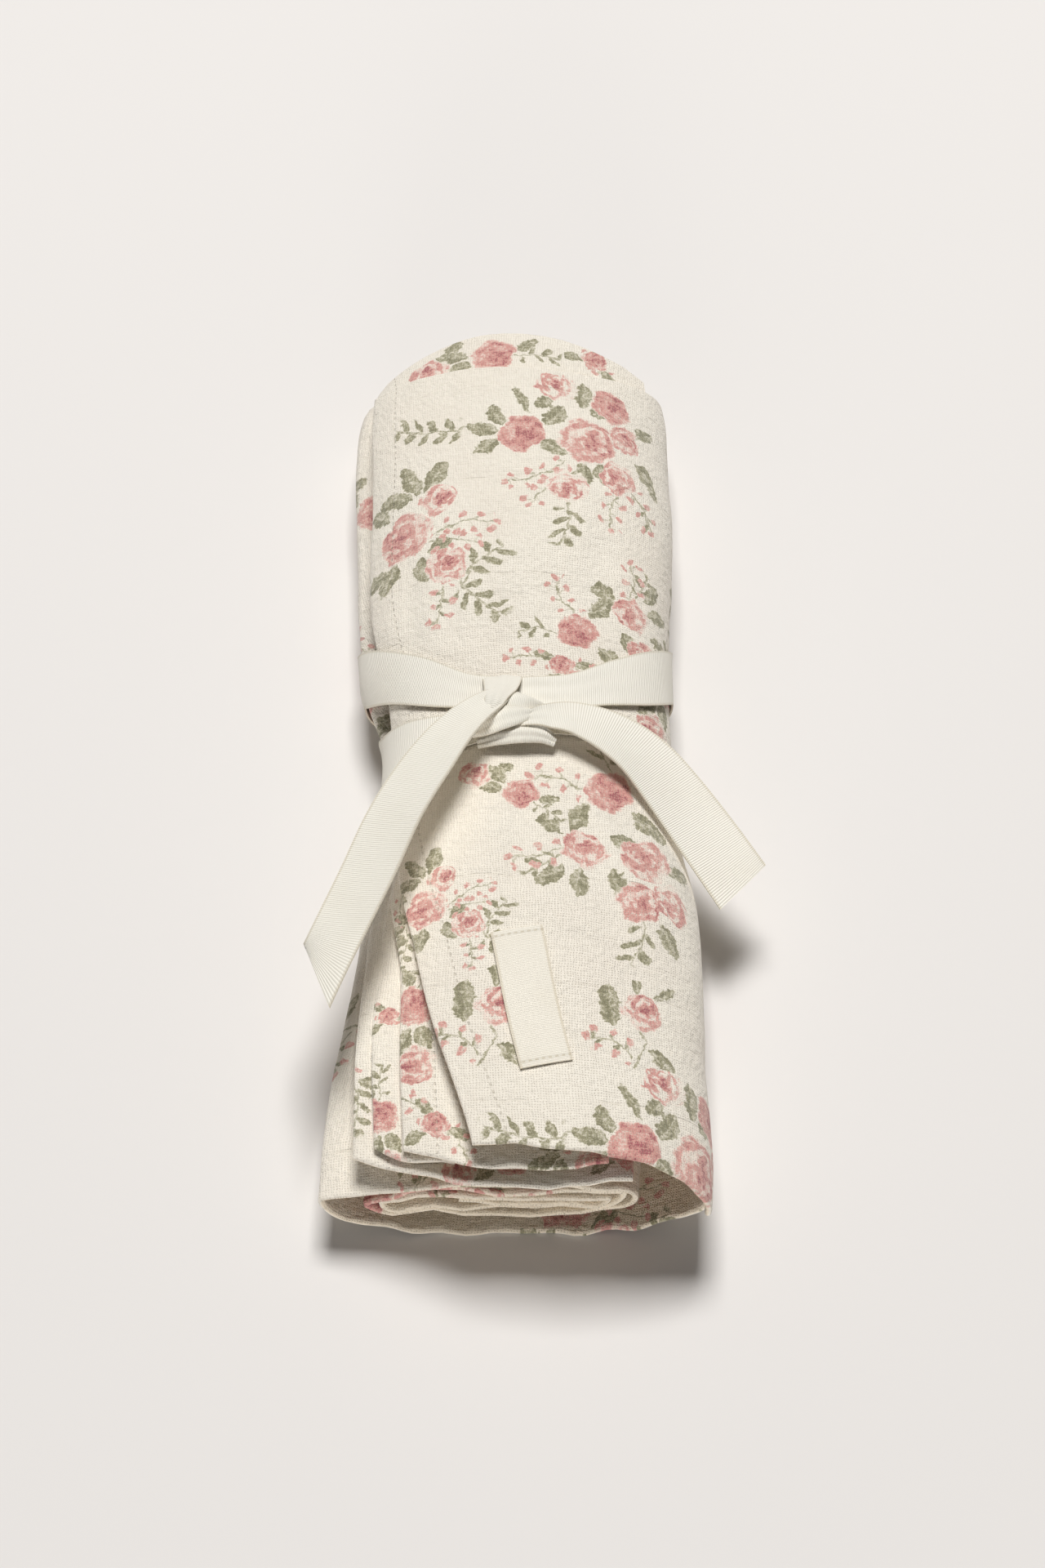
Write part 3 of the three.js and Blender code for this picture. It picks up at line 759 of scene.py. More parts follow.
class MotifGroups:
    """The node groups that draw one rose, leaf or twig each, in the spray's own millimetres."""

    def __init__(self) -> None:
        """Builds the three groups."""
        self.rose = self._rose()
        self.leaf = self._leaf()
        self.twig = self._twig()

    @staticmethod
    def _start(name: str, sizes: Sequence[str], outputs: Sequence[str]) -> tuple:
        """Starts a motif's group.

        Args:
            name: the group's name.
            sizes: the names of the motif's own inputs.
            outputs: the names of its outputs.

        Returns:
            The graph, its inputs, the function that finishes it, and x and y about the motif's own place.
        """
        graph, wires, finished = new_group(name, ["Vector", "X", "Y", "Turn", *sizes], outputs)
        x, y = graph.split(wires["Vector"])
        dx, dy = x - wires["X"], y - wires["Y"]
        cos, sin = wires["Turn"].cos(), wires["Turn"].sin()
        return graph, wires, finished, dx * cos + dy * sin, dy * cos - dx * sin

    def _rose(self) -> bpy.types.NodeTree:
        """Draws broken arcs of petals round a deep heart: Ink is the pink's depth, Cover hides the rest."""
        graph, wires, finished, x, y = self._start("printed_rose", ["Radius", "Depth"], ["Ink", "Cover"])
        x, y = x / wires["Radius"], y / wires["Radius"]
        angle = graph.math("ARCTAN2", y, x)
        out = (x * x + y * y * 1.15).root()
        # The rim has five shallow petals and is a little longer one way.
        rim = out * ((angle * 5 + wires["X"]).sin() * 0.06 + 1) * ((angle * 2 + 1).cos() * 0.07 + 1)
        cover = rim.eased(1.04, 0.86)
        # Noise read along a circle round the heart breaks the rings into arcs.
        heart_x, heart_y = x - 0.16, y + 0.12
        heart = (heart_x * heart_x + heart_y * heart_y).root().max(0.02)
        ring = graph.vector(heart * 3.8 + wires["X"], heart_x / heart, heart_y / heart)
        arcs = graph.noise(ring, 1.05, 1, dimensions="3D").eased(0.4, 0.6)
        # One side is darker, in a pale rose and in a deep one.
        side = x.eased(-0.8, 0.8)
        pale = arcs * (side * 0.44 + 0.26) + 0.06
        deep = arcs * 0.3 + side * 0.16 + 0.46
        depth = wires["Depth"]
        ink = pale * (1 - depth) + deep * depth + heart.eased(0.44, 0.1) * 0.4
        return finished(Ink=ink.min(1) * cover, Cover=cover)

    def _leaf(self) -> bpy.types.NodeTree:
        """Draws a pointed leaf with a pale midrib and one darker half."""
        _, wires, finished, x, y = self._start("printed_leaf", ["Length", "Width"], ["Ink"])
        t = x / wires["Length"]
        # The outline is an arch between its two points, with a wavering edge.
        body = (t * (1 - t) * 4).max(0) ** 0.7
        half = wires["Width"] * body * 0.5 + (x * 4).sin() * 0.16
        inside = (half - y.size()).eased(-0.1, 0.6)
        vein = (x * 2.6 - y.size() * 2).sin() * 0.07 + 0.86
        rib = y.size().eased(0.1, 0.5, 0.72, 1)
        shade = y.eased(-0.4, 0.4, 0.82, 1.08)
        return finished(Ink=inside * vein * rib * shade)

    def _twig(self) -> bpy.types.NodeTree:
        """Draws a bent stem with leaflets in pairs, or buds on side stalks: Leaf is green and Bud pink."""
        sizes = ["Length", "Bend", "Leaflet", "Bud Radius"]
        graph, wires, finished, x, y = self._start("printed_twig", sizes, ["Leaf", "Bud"])
        t = x / wires["Length"]
        held = t.max(0).min(1)
        across = y - (held * math.pi).sin() * wires["Bend"]
        within = t.eased(-0.02, 0.02) * t.eased(1.04, 0.98)
        stem = across.size().eased(0.6, 0.15) * within * 0.6
        # The two sides' leaflets and buds stand half a pitch apart.
        pitch = 5.2
        along_side = x + across.eased(-0.1, 0.1) * pitch / 2
        cell = graph.math("FRACT", along_side / pitch) * pitch - pitch / 2
        # Each leaflet is an ellipse that leans towards the tip.
        leaflet = wires["Leaflet"]
        rise = across.size() - leaflet * 0.5
        lean = cell - rise * 0.55
        long_way = rise / (leaflet * 0.52).max(0.01)
        short_way = lean / (leaflet * 0.3).max(0.01)
        leaves = (long_way * long_way + short_way * short_way).eased(1.1, 0.5) * leaflet.eased(0.5, 1.5)
        # The buds are dots at the ends of leaning stalks, with one more at the tip.
        bud = wires["Bud Radius"]
        stand = across.size() - 3
        leaning = (cell - across.size() * 0.4 + 1.2).size()
        stalk = leaning.eased(0.5, 0.1) * across.size().eased(3.2, 2.8) * bud.eased(0.3, 0.6)
        dots = (cell * cell + stand * stand).root().eased(1.5, 0.8) * within
        tip_x = x - wires["Length"] - 0.6
        tip = (tip_x * tip_x + across * across).root()
        buds = dots.max((tip / bud.max(0.01)).eased(1.1, 0.6)) * bud.eased(0.3, 0.6) * 0.5
        leaves = leaves * t.eased(0.12, 0.2) * t.eased(1.1, 0.95) * 0.8
        return finished(Leaf=stem.max(leaves).max(stalk * within * 0.45), Bud=buds)


def weave_group() -> bpy.types.NodeTree:
    """Builds a plain weave: Height is 1 on a thread's crown, and Pore is 1 in the holes between threads."""
    graph, wires, finished = new_group("plain_weave", ["Vector", "Pitch"], ["Height", "Pore"])
    x, y = graph.split(wires["Vector"])
    wobble = graph.noise(wires["Vector"], 0.35, 2) - 0.5
    a, b = ((way + wobble * 0.9) / wires["Pitch"] * math.pi for way in (x, y))
    mean_height = 0.68
    over = a.cos() * b.cos() * (1 - mean_height)
    warp = a.sin().size() ** 0.7 * (over + mean_height)
    weft = b.sin().size() ** 0.7 * (mean_height - over)
    pore = (a.sin().size() + b.sin().size()).eased(0.75, 0.2)
    slub = graph.noise(graph.vector(x * 0.25, y * 2.2), 0.5) * 0.18
    return finished(Height=warp.max(weft) + slub, Pore=pore)


# ---- Finishes ----
def srgb(code: int) -> Colour:
    """Gives a colour code in linear light."""
    parts = [((code >> shift) & 255) / 255 for shift in (16, 8, 0)]
    return tuple(p / 12.92 if p <= 0.04045 else ((p + 0.055) / 1.055) ** 2.4 for p in parts)


def new_material(name: str) -> tuple[bpy.types.Material, Graph, bpy.types.Node]:
    """Starts a material.

    Args:
        name: its name.

    Returns:
        The material, its graph and its Principled BSDF.
    """
    material = bpy.data.materials.new(name)
    material.use_nodes = True
    return material, Graph(material.node_tree), material.node_tree.nodes["Principled BSDF"]


@dataclass(frozen=True)
class MuslinFinish:
    """Crinkled double gauze, plain or printed with one spray."""

    cream: Colour = srgb(0xF9F1E2)
    warm: Colour = srgb(0xF7EEDF)
    # painted warm shade for the sheet's inner side and the plies deep in the roll
    inner: Colour = srgb(0xF8E8CE)
    # painted shade for the holes between threads and the tack lines, and the darker tone of the flecks and
    # stitches
    shadow: Colour = srgb(0xBFB096)
    green: Colour = srgb(0x7C7858)
    green_pale: Colour = srgb(0xB2AC8B)
    pink_pale: Colour = srgb(0xF2D0C3)
    pink: Colour = srgb(0xDA9A90)
    rose: Colour = srgb(0xA6525A)
    pitch: float = 0.8
    relief: float = 0.00032
    bump: float = 0.9
    roughness: float = 0.92
    specular: float = 0.25
    sheen: float = 0.25
    sheen_roughness: float = 0.6
    # where along the strip the painted warm shade of the deep plies grows to its full strength
    deep: Pair = (195, 240)  # how far along the strip it becomes as warm as the inner side
    tack_every: float = 38
    stitch_at: float = 10
    stitch_every: float = 2.4

    def material(
        self, name: str, weave: bpy.types.NodeTree, motifs: MotifGroups, spray: Spray | None
    ) -> bpy.types.Material:
        """Builds the material.

        Args:
            name: its name.
            weave: the weave's group.
            motifs: the groups that draw the print.
            spray: the spray that it shows, or None.

        Returns:
            The material.
        """
        material, graph, shader = new_material(name)
        cloth = graph.uv("cloth")
        threads = graph.placed(weave, Vector=cloth, Pitch=self.pitch)
        u, v = graph.split(cloth)
        edge, length = graph.split(graph.uv("hem"))
        colour = graph.blend(graph.noise(cloth, 0.03, 2).eased(0.35, 0.7), self.cream, self.warm)
        # Painted shade: the sheet's inner side, whose hem coordinate is negative, and the plies deep in the
        # roll are blended towards a warmer, darker colour.
        within = edge.eased(0.5, -0.5).max(u.eased(*self.deep) * 0.6)
        colour = graph.blend(within * 0.8, colour, self.inner)
        if spray:
            colour = self._printed(graph, colour, threads["Height"], motifs, spray)
        tack = self._tack_lines(graph, u, v)
        stitches = self._stitches(graph, edge, length)
        open_weave = graph.noise(cloth, 0.07, 2).eased(0.3, 0.65, 0.48, 0.9)
        fleck = graph.noise(cloth, 0.6, 2).eased(0.4, 0.7, 0, 0.08)
        # Painted shade darkens the holes between threads and the tack lines; the flecks are the cloth's own
        # uneven tone, and the stitches darken the hem line.
        shade = threads["Pore"] * open_weave + fleck + tack * 0.12 + stitches * 0.3
        colour = graph.blend(shade.min(0.8), colour, self.shadow)
        crinkle = graph.noise(graph.vector(u * 0.35, v), 0.13, 3)
        grain = graph.noise(cloth, 0.55, 2)
        height = threads["Height"] + crinkle * 3.2 + grain * 1.9 - tack * 0.5 - stitches * 0.9
        graph.finish(
            shader, height, self.relief, self.bump, Base_Color=colour, Roughness=self.roughness,
            Specular_IOR_Level=self.specular, Sheen_Weight=self.sheen, Sheen_Roughness=self.sheen_roughness,
        )
        return material

    def _tack_lines(self, graph: Graph, u: Wire, v: Wire) -> Wire:
        """Gives the faint broken lines across the cloth where the gauze's two layers are woven together."""
        bent = v + graph.noise(graph.vector(u, 0.0), 0.04, 1) * 5
        place = (graph.math("FRACT", bent / self.tack_every) - 0.5) * self.tack_every
        broken = graph.noise(graph.vector(u, v * 0.1), 0.12, 1).eased(0.4, 0.6)
        return place.size().eased(0.6, 0.1) * broken

    def _stitches(self, graph: Graph, edge: Wire, length: Wire) -> Wire:
        """Gives the line of stitches that holds the hem."""
        line = (edge - self.stitch_at).size().eased(0.4, 0.15)
        return line * graph.math("FRACT", length / self.stitch_every).eased(0.5, 0.65)

    def _printed(self, graph: Graph, ground: Wire, height: Wire, motifs: MotifGroups, spray: Spray) -> Wire:
        """Draws a spray over the ground colour.

        Args:
            graph: the material's graph.
            ground: the cloth's colour.
            height: the threads' height.
            motifs: the groups that draw the print.
            spray: the spray to draw.

        Returns:
            The printed colour.
        """
        place = graph.uv("print")
        drawn = self._shaken(graph, self._shaken(graph, place, 0.2, 3.2), 0.8, 1.1)
        roses, leaves, twigs = spray.value

        def stamped(group: bpy.types.NodeTree, motif: Motif) -> dict[str, Wire]:
            """Draws one motif."""
            values = {name.title(): value for name, value in vars(motif).items()}
            values["Turn"] = math.radians(motif.turn)
            return graph.placed(group, Vector=drawn, **values)

        green = pink = cover = None
        for leaf in leaves:
            ink = stamped(motifs.leaf, leaf)["Ink"]
            green = ink if green is None else green.max(ink)
        for twig in twigs:
            parts = stamped(motifs.twig, twig)
            green = green.max(parts["Leaf"])
            pink = parts["Bud"] if pink is None else pink.max(parts["Bud"])
        for rose in roses:
            parts = stamped(motifs.rose, rose)
            pink = (pink * (1 - parts["Cover"])).max(parts["Ink"])
            cover = parts["Cover"] if cover is None else cover.max(parts["Cover"])
        wash = graph.noise(place, 0.4, 3).eased(0.3, 0.7, 0.66, 1.12)
        speckle = graph.noise(graph.uv("cloth"), 1.3, 1).eased(0.35, 0.65, 0.72, 1.1)
        grain = height.eased(0.3, 0.95, 0.6, 1.08) * speckle
        if cover:
            green = green * (1 - cover)
        green = (green * wash * grain).min(1)
        pink = (pink * wash * grain).min(1)
        leafy = graph.blend(green.eased(0.3, 0.95), self.green_pale, self.green)
        colour = graph.blend(green.eased(0.06, 0.6, 0, 0.94), ground, leafy)
        petal = graph.blend(pink.eased(0.12, 0.5), self.pink_pale, self.pink)
        petal = graph.blend(pink.eased(0.5, 0.95), petal, self.rose)
        return graph.blend(pink.eased(0.03, 0.34, 0, 0.95), colour, petal)

    @staticmethod
    def _shaken(graph: Graph, place: Wire, scale: float, reach: float) -> Wire:
        """Moves print coordinates unevenly, so that outlines are drawn by an unsteady hand.

        Args:
            graph: the material's graph.
            place: the coordinates.
            scale: lumps of unevenness in each unit.
            reach: the width of the range that a point moves over.

        Returns:
            The moved coordinates.
        """
        node = graph.node("ShaderNodeVectorMath", operation="MULTIPLY_ADD")
        graph.put(node.inputs[0], graph.noise(place, scale, 2, "Color"))
        node.inputs[1].default_value = (reach, reach, 0)
        graph.put(node.inputs[2], place)
        centred = graph.node("ShaderNodeVectorMath", operation="SUBTRACT")
        graph.put(centred.inputs[0], Wire(graph, node.outputs[0]))
        centred.inputs[1].default_value = (reach / 2, reach / 2, 0)
        return Wire(graph, centred.outputs[0])


@dataclass(frozen=True)
class GrosgrainFinish:
    """Ribbed ribbon or label tape, whose ribs run across it."""

    name: str
    colour: Colour
    # the darker colour: painted shade in the valleys between the ribs, and the darker tone of the edges,
    # patches and stitches
    valley: Colour
    rib: float = 0.7
    warp: float = 0.32
    relief: float = 0.0002
    bump: float = 0.8
    roughness: float = 0.62
    sheen: float = 0.15
    width: float = 20
    stitch_at: float = 0  # how far from the middle the tape is sewn down
    stitch_every: float = 1.9

    def material(self) -> bpy.types.Material:
        """Builds the material on the piece's own ribbon coordinates."""
        material, graph, shader = new_material(self.name)
        lengthwise, across = graph.split(graph.uv("cloth"))
        wave = (lengthwise / self.rib * math.tau).sin() * 0.5 + 0.5
        warp = (across / self.warp * math.tau).sin() * 0.5 + 0.5
        threads = wave ** 0.6 * 0.85 + warp * 0.15
        # Painted shade: the valleys between the ribs are darker.
        colour = graph.blend(threads.eased(0.5, 0, 0, 0.4), self.colour, self.valley)
        selvedge = across.size().eased(self.width / 2 - 1, self.width / 2 - 0.4)
        colour = graph.blend(selvedge * 0.5, colour, self.valley)
        patchy = graph.noise(graph.uv("cloth"), 0.06, 2)
        colour = graph.blend(patchy.eased(0.4, 0.8, 0, 0.08), colour, self.valley)
        if self.stitch_at:
            line = (lengthwise.size() - self.stitch_at).size().eased(0.4, 0.15)
            sewn = line * graph.math("FRACT", across / self.stitch_every).eased(0.4, 0.6)
            colour = graph.blend(sewn * 0.6, colour, self.valley)
            threads = threads - line * 1.6
        graph.finish(
            shader, threads, self.relief, self.bump,
            Base_Color=colour, Roughness=self.roughness, Sheen_Weight=self.sheen,
        )
        return material


# ---- The cloth ----
@dataclass(frozen=True)
class Column:
    """One line of the cloth along the roll: its point at y, and how far its ends run."""

    at: Callable[[Grid], Point]
    near: float
    far: float


@dataclass(frozen=True)
class Pass:
    """A pass of the wound strip from fold to fold. Pairs are at the open end, then in the closed roll."""

    steps: int
    crown: Pair
    right: Pair
    left: Pair
    shoulder: Pair
    columns: int


@dataclass(frozen=True)
class LoosePly:
    """A free end of the strip under the top one."""

    crown: Pair
    edge: Table
    inset: Pair
    flare: float
    joins_top: bool
    join: Pair
    near: Pair
    far: tuple[float, float, float]  # the arch of its far end: start and end in half turns, and reach


@dataclass(frozen=True)
class Crease:
    """A soft trough, or a ridge where its depth is below 0, along a line of cloth coordinates."""

    start: Pair
    end: Pair
    depth: float
    width: float

    def height(self, cloth: Grid) -> Grid:
        """Gives how far the crease moves points of the cloth outwards."""
        start, end = np.array(self.start), np.array(self.end)
        way = end - start
        length = np.linalg.norm(way)
        way = way / length
        rest = cloth - start
        forward = rest @ way
        across = rest[..., 0] * way[1] - rest[..., 1] * way[0]
        fade = np.sin(np.clip(forward / length, 0, 1) * math.pi) ** 0.6
        return -self.depth * fade * np.exp(-((across / self.width) ** 2))


@dataclass(frozen=True)
class Lumps:
    """A layer of unevenness: how wide its lumps are across and along the cloth, their height and a seed."""

    wide: float
    long: float
    height: float
    seed: int

    def at(self, u: Grid, v: Grid, seed: int) -> Grid:
        """Gives its height at cloth coordinates, in the pattern of a sheet's own seed."""
        return lattice_noise(u / self.wide, v / self.long, seed + self.seed) * self.height


@dataclass
class SwaddleCloth:
    """The wound muslin strip with its four hemmed loose ends."""

    form: RollForm = field(default_factory=RollForm)
    hem: float = 2.3  # the thickness of a ply at its hem
    hem_width: float = 10
    band: Pair = (2.1, 3.2)  # the strip's thickness inside the roll: open end, then closed roll
    flare_from: float = -36  # where the loose plies begin to spread, and over what length
    flare_over: float = 22
    loose_steps: int = 7
    joined: float = 0.45  # how far a loose ply's last column has come to the ply that it joins
    print_margin: float = 5  # how far round its motifs a spray's finish reaches
    thinnest: float = 0.16  # the thickness at a rim, as a share of the ply's
    near_reshaped: float = -96  # rows beyond these follow the uneven ends
    far_reshaped: float = 90
    top_near: float = -149  # how far the strip's top, outer and inner passes reach at the open end
    outer_near: float = -150
    inner_near: float = -149.5
    near_bulge: float = 6  # how much farther its right side reaches there
    outer_far: float = 7  # how far its outer pass bulges at the far end
    inner_far: Pair = (16, 8)  # the same for an inner pass's middle, and what its folds lack
    near_rows: tuple[float, ...] = (-150, -149.85, -149.5, -149, -148.3, -147.2)
    even_rows: tuple[float, float, int] = (-145.5, 134, 118)  # first, last and count
    far_rows: tuple[float, ...] = (135.8, 137.4, 138.6, 139.4, 139.8, 140)
    passes: tuple[Pass, ...] = (
        Pass(16, (0, 0), (0, 0), (0, 0), (0, 0), 62),
        Pass(14, (0.515, 0.775), (21, 6), (0, 0), (5, 10.5), 30),
        Pass(10, (0.2, 0.16), (21, 6), (14.5, 6.5), (14.5, 6.5), 18),
        Pass(8, (0.45, 0.665), (25, 11.5), (14.5, 6.5), (18, 16.5), 16),
        Pass(8, (0.262, 0.29), (25, 11.5), (19, 12.5), (19, 12.5), 16),
        Pass(6, (0.386, 0.555), (29, 17), (19, 12.5), (22, 22.5), 13),
        Pass(6, (0.324, 0.42), (29, 17), (24, 18), (24, 18), 13),
    )
    top_edge: Table = (
        (-158, -11), (-147, -12.2), (-128, -16.9), (-107, -22.9), (-80, -29.2), (-54, -34),
        (-10, -36.4), (14, -38.4), (34, -42), (57, -44.4), (91, -45.6), (158, -45.4),
    )
    loose: tuple[LoosePly, ...] = (
        LoosePly(
            crown=(0.828, 0.948),
            edge=(
                (-143, -31.3), (-89, -32.5), (-58, -36.3), (-30, -31), (10, -29), (60, -41), (110, -43.6),
                (150, -46),
            ),
            inset=(11, 3.4), flare=1.2, joins_top=True, join=(0.46, 0.86), near=(-144.9, -152),
            far=(0.06, 0.9, 19.5),
        ),
        LoosePly(
            crown=(0.748, 0.895),
            edge=((-141, -39.4), (-87, -39.9), (-60, -37.6), (-30, -28.5), (10, -27), (60, -36), (158, -38)),
            inset=(8.5, 6), flare=3, joins_top=False, join=(-0.3, -0.3), near=(-142, -147),
            far=(0.18, 0.72, 6),
        ),
        LoosePly(
            crown=(0.672, 0.842),
            edge=(
                (-141, -45.4), (-113, -44.6), (-86, -43.4), (-60, -41.4), (-32, -29), (10, -25), (60, -34),
                (158, -36),
            ),
            inset=(4.5, 8.4), flare=5.6, joins_top=True, join=(0.58, 0.78), near=(-143, -153.8),
            far=(0.18, 0.72, 14),
        ),
    )
    creases: tuple[Crease, ...] = (
        Crease((4, -24), (-6, -96), 1.3, 4),
        Crease((16, -26), (30, -84), 1.1, 5),
        Crease((-10, -22), (-22, -60), 0.9, 3.5),
        Crease((26, -24), (44, -60), 0.9, 4),
        Crease((-2, 26), (-8, 84), 1, 5),
        Crease((10, 28), (16, 60), 0.8, 3.5),
        Crease((24, 30), (30, 92), 0.9, 6),
        Crease((-30, 26), (-34, 70), 0.9, 4),
        Crease((-18, 28), (-20, 52), 0.7, 3),
        Crease((2, -76), (34, -84), 0.8, 3),
        Crease((-4, -66), (26, -70), -0.6, 3),
        Crease((10, -112), (44, -124), 0.6, 4),
        Crease((-20, 88), (20, 98), 0.6, 4),
        Crease((-14, 44), (30, 50), 0.55, 3),
        Crease((-30, 66), (4, 72), 0.5, 3),
        Crease((30, 10), (60, -10), 0.6, 5),
    )

    lumps: tuple[Lumps, ...] = (Lumps(19, 27, 0.42, 0), Lumps(8, 11, 0.26, 1))
    ripple: Lumps = Lumps(9, 60, 1.7, 2)  # outwards, at the open end
    rim_wave: Lumps = Lumps(8, math.inf, 1, 3)  # along the roll, at the open end
    rippled_from: Pair = (-152, 9)  # where the two are strongest, and the length over which they fade
    clear_of_ribbon: tuple[Pair, Pair] = ((30, 26), (-22, -22))  # where the lumps begin, and over what length
    snug_lumps: float = 0.25  # how much of the lumps is left beside the ribbon
    under: Pair = (8, 0.35)  # below this height, how much of all unevenness is left
    ruffle: tuple[float, float, float] = (2.2, 1.5, 2.7)  # how far the inner plies are moved: x, y and z
    ruffled_from: Pair = (-150, 22)
    ruffled_over: Pair = (4, 10)  # the last flat inner column, and over how many the ruffles then grow

    # -- lines of the cloth --
    def winding(self) -> list[Column]:
        """Gives the columns of the wound strip from its free edge inwards."""
        form = self.form

        def edge_share(y: Grid) -> Grid:
            """Gives the free edge as a share of the way to the left fold."""
            return along(self.top_edge, y) / (form.section(y).left + form.ply / 2)

        columns = []
        for share in 1 - np.r_[0, 0.003, 0.01, 0.025, np.linspace(0.05, 1, 24)]:
            columns.append(
                Column(lambda y, share=share: form.top_ply(y, -edge_share(y) * share), self.top_near, 0)
            )
        for turn in np.linspace(0, 1, 34)[1:]:
            near = self.top_near - self.near_bulge * math.sin(turn * math.pi * 0.6)
            far = self.outer_far * turn**2
            columns.append(Column(lambda y, turn=turn: self._top_right(y, turn), near, far))
        for n, item in enumerate(self.passes):
            last = n == len(self.passes) - 1
            end = item.steps - 2 if last else item.steps
            for i in np.linspace(0, end, item.columns)[1:]:
                spread = abs(i - item.steps / 2) / (item.steps / 2)
                near, far = self.inner_near, self.inner_far[0] - self.inner_far[1] * spread**2
                if n == 0:
                    near, far = self.outer_near, self.outer_far
                columns.append(Column(lambda y, n=n, i=i: self._wound(y, n, i), near, far))
        return columns

    def _top_right(self, y: Grid, turn: float) -> Point:
        """Gives the top ply right of its middle."""
        s = self.form.section(y)
        half = self.form.ply / 2
        return self.form.quarter((0, s.top - half), (s.right - half, s.tip), turn)

    def _fold_of(self, n: int, side: int, y: Grid) -> Point:
        """Gives the fold between pass n - 1 and pass n; even folds are on the right."""
        s = self.form.section(y)
        half = self.form.ply / 2
        if n == 0:
            return s.right - half, s.tip
        if n == 1:
            return s.left + half, s.tip_left
        item = self.passes[n]
        inset = self.form.opened(item.left if side < 0 else item.right, y)
        crowns = tuple(self.form.opened(self.passes[k].crown, y) for k in (n - 1, n))
        return self.form.fold(y, side, inset, crowns)

    def _wound(self, y: Grid, n: int, i: float) -> Point:
        """Gives a point of pass n at step i."""
        form, item = self.form, self.passes[n]
        half = item.steps / 2
        turn = abs(i - half) / half
        on_start = i < half
        side = 1 if on_start == (n % 2 == 0) else -1
        index = n if on_start else n + 1
        if index < len(self.passes):
            x, z = self._fold_of(index, side, y)
        else:
            x, z = self._fold_of(n, 1, y)
            x = -x
        if side < 0 and n % 2 == 1:
            shoulder = form.opened(item.shoulder, y) - form.opened(item.left, y)
            x = x + shoulder * smooth((1 - turn) / 0.4)
        crown = form.section(y).level(form.opened(item.crown, y))
        return form.quarter((0, crown), (x, z), turn, form.flat_spot if n == 0 else 1)

    def _loose_point(self, ply: LoosePly, y: Grid, x: Grid, edge: float) -> Point:
        """Gives the middle of a loose ply at x; edge is 1 at its free edge, which flares out."""
        form = self.form
        s = form.section(y)
        flare = ply.flare * edge * smooth((self.flare_from - y) / self.flare_over)
        inset = form.opened(ply.inset, y) - flare
        side = np.where(x < 0, s.left + inset, s.right - inset)
        crown = s.level(form.opened(ply.crown, y))
        tip = mix(np.where(x < 0, s.tip_left, s.tip), crown, form.opened((0.55, 0), y))
        return form.quarter((0, crown), (side, tip), form.turn_at(np.abs(x / side)))

    def loose_columns(self, n: int) -> list[Column]:
        """Gives the columns of loose ply n, from its free edge to where it joins the strip."""
        ply, form, steps = self.loose[n], self.form, self.loose_steps

        def at(y: Grid, i: float) -> Point:
            """Gives the ply's point at step i."""
            s = form.section(y)
            share = form.opened(ply.join, y)
            join = share * np.where(share < 0, -s.left, s.right)
            x = mix(along(ply.edge, y), join, i / steps)
            here = self._loose_point(ply, y, x, 1 - float(smooth(i / 3)))
            if ply.joins_top:
                target = form.top_ply(y, x / s.right)
            else:
                target = self._loose_point(self.loose[n + 1], y, x, 0)
            return here[0], mix(here[1], target[1], np.clip((i - steps + 1) * self.joined, 0, 1))

        columns = []
        for i in np.r_[0, 0.01, 0.03, 0.07, np.linspace(0.15, 3, 14), np.linspace(3.4, steps, 8)]:
            near = mix(ply.near[0], ply.near[1], math.sin(min(i / 4, 1) * math.pi / 2))
            far = ply.far[2] * math.sin(math.pi * mix(ply.far[0], ply.far[1], i / steps)) ** 0.7
            columns.append(Column(lambda y, i=i: at(y, i), near, far))
        return columns

    # -- sheets --
    def stations(self) -> Grid:
        """Gives the rows' places along y, closest at the two ends."""
        return np.r_[self.near_rows, np.linspace(*self.even_rows), self.far_rows]

    def lofted(self, columns: Sequence[Column], thickness: Callable, seed: int) -> Sheet:
        """Lofts a sheet through its columns.

        Args:
            columns: the sheet's columns, with a free edge first.
            thickness: gives the thickness from the column, y and distance from the free edge.
            seed: picks the unevenness of the ends.

        Returns:
            The sheet, with rims rounded at both ends and at the free edge.
        """
        stations = self.stations()
        first, last = stations[0], stations[-1]
        near = np.array([c.near for c in columns])
        far = np.array([c.far for c in columns])
        pull = smooth((self.near_reshaped - stations) / (self.near_reshaped - first))[:, None]
        push = smooth((stations - self.far_reshaped) / (last - self.far_reshaped))[:, None]
        ys = stations[:, None] + (near - first) * pull + far * push
        x, z = np.empty_like(ys), np.empty_like(ys)
        for k, column in enumerate(columns):
            x[:, k], z[:, k] = column.at(ys[:, k])
        run = np.hypot(np.diff(x, axis=1), np.diff(z, axis=1))
        reach = np.concatenate([np.zeros((len(ys), 1)), np.cumsum(run, axis=1)], 1)
        top_columns = 40  # the middle of the roll's top lies within them
        crown = np.argmin(np.abs(x[:, :top_columns]), axis=1)
        rows = np.arange(len(ys))
        zero = reach[rows, crown] - x[rows, crown]
        cloth = np.stack([reach - zero[:, None], ys], -1)
        full = thickness(np.arange(len(columns))[None, :], ys, reach)
        end = np.minimum(stations - first, last - stations)[:, None]
        depth = np.minimum(end, reach) / (full / 2)
        round_off = np.sqrt(1 - (1 - np.clip(depth, 0, 1)) ** 2)
        thick = full * np.maximum(round_off, self.thinnest)
        sheet = Sheet(np.stack([x, ys, z], -1), thick, cloth, np.stack([reach, ys], -1))
        return self._uneven(sheet, seed)

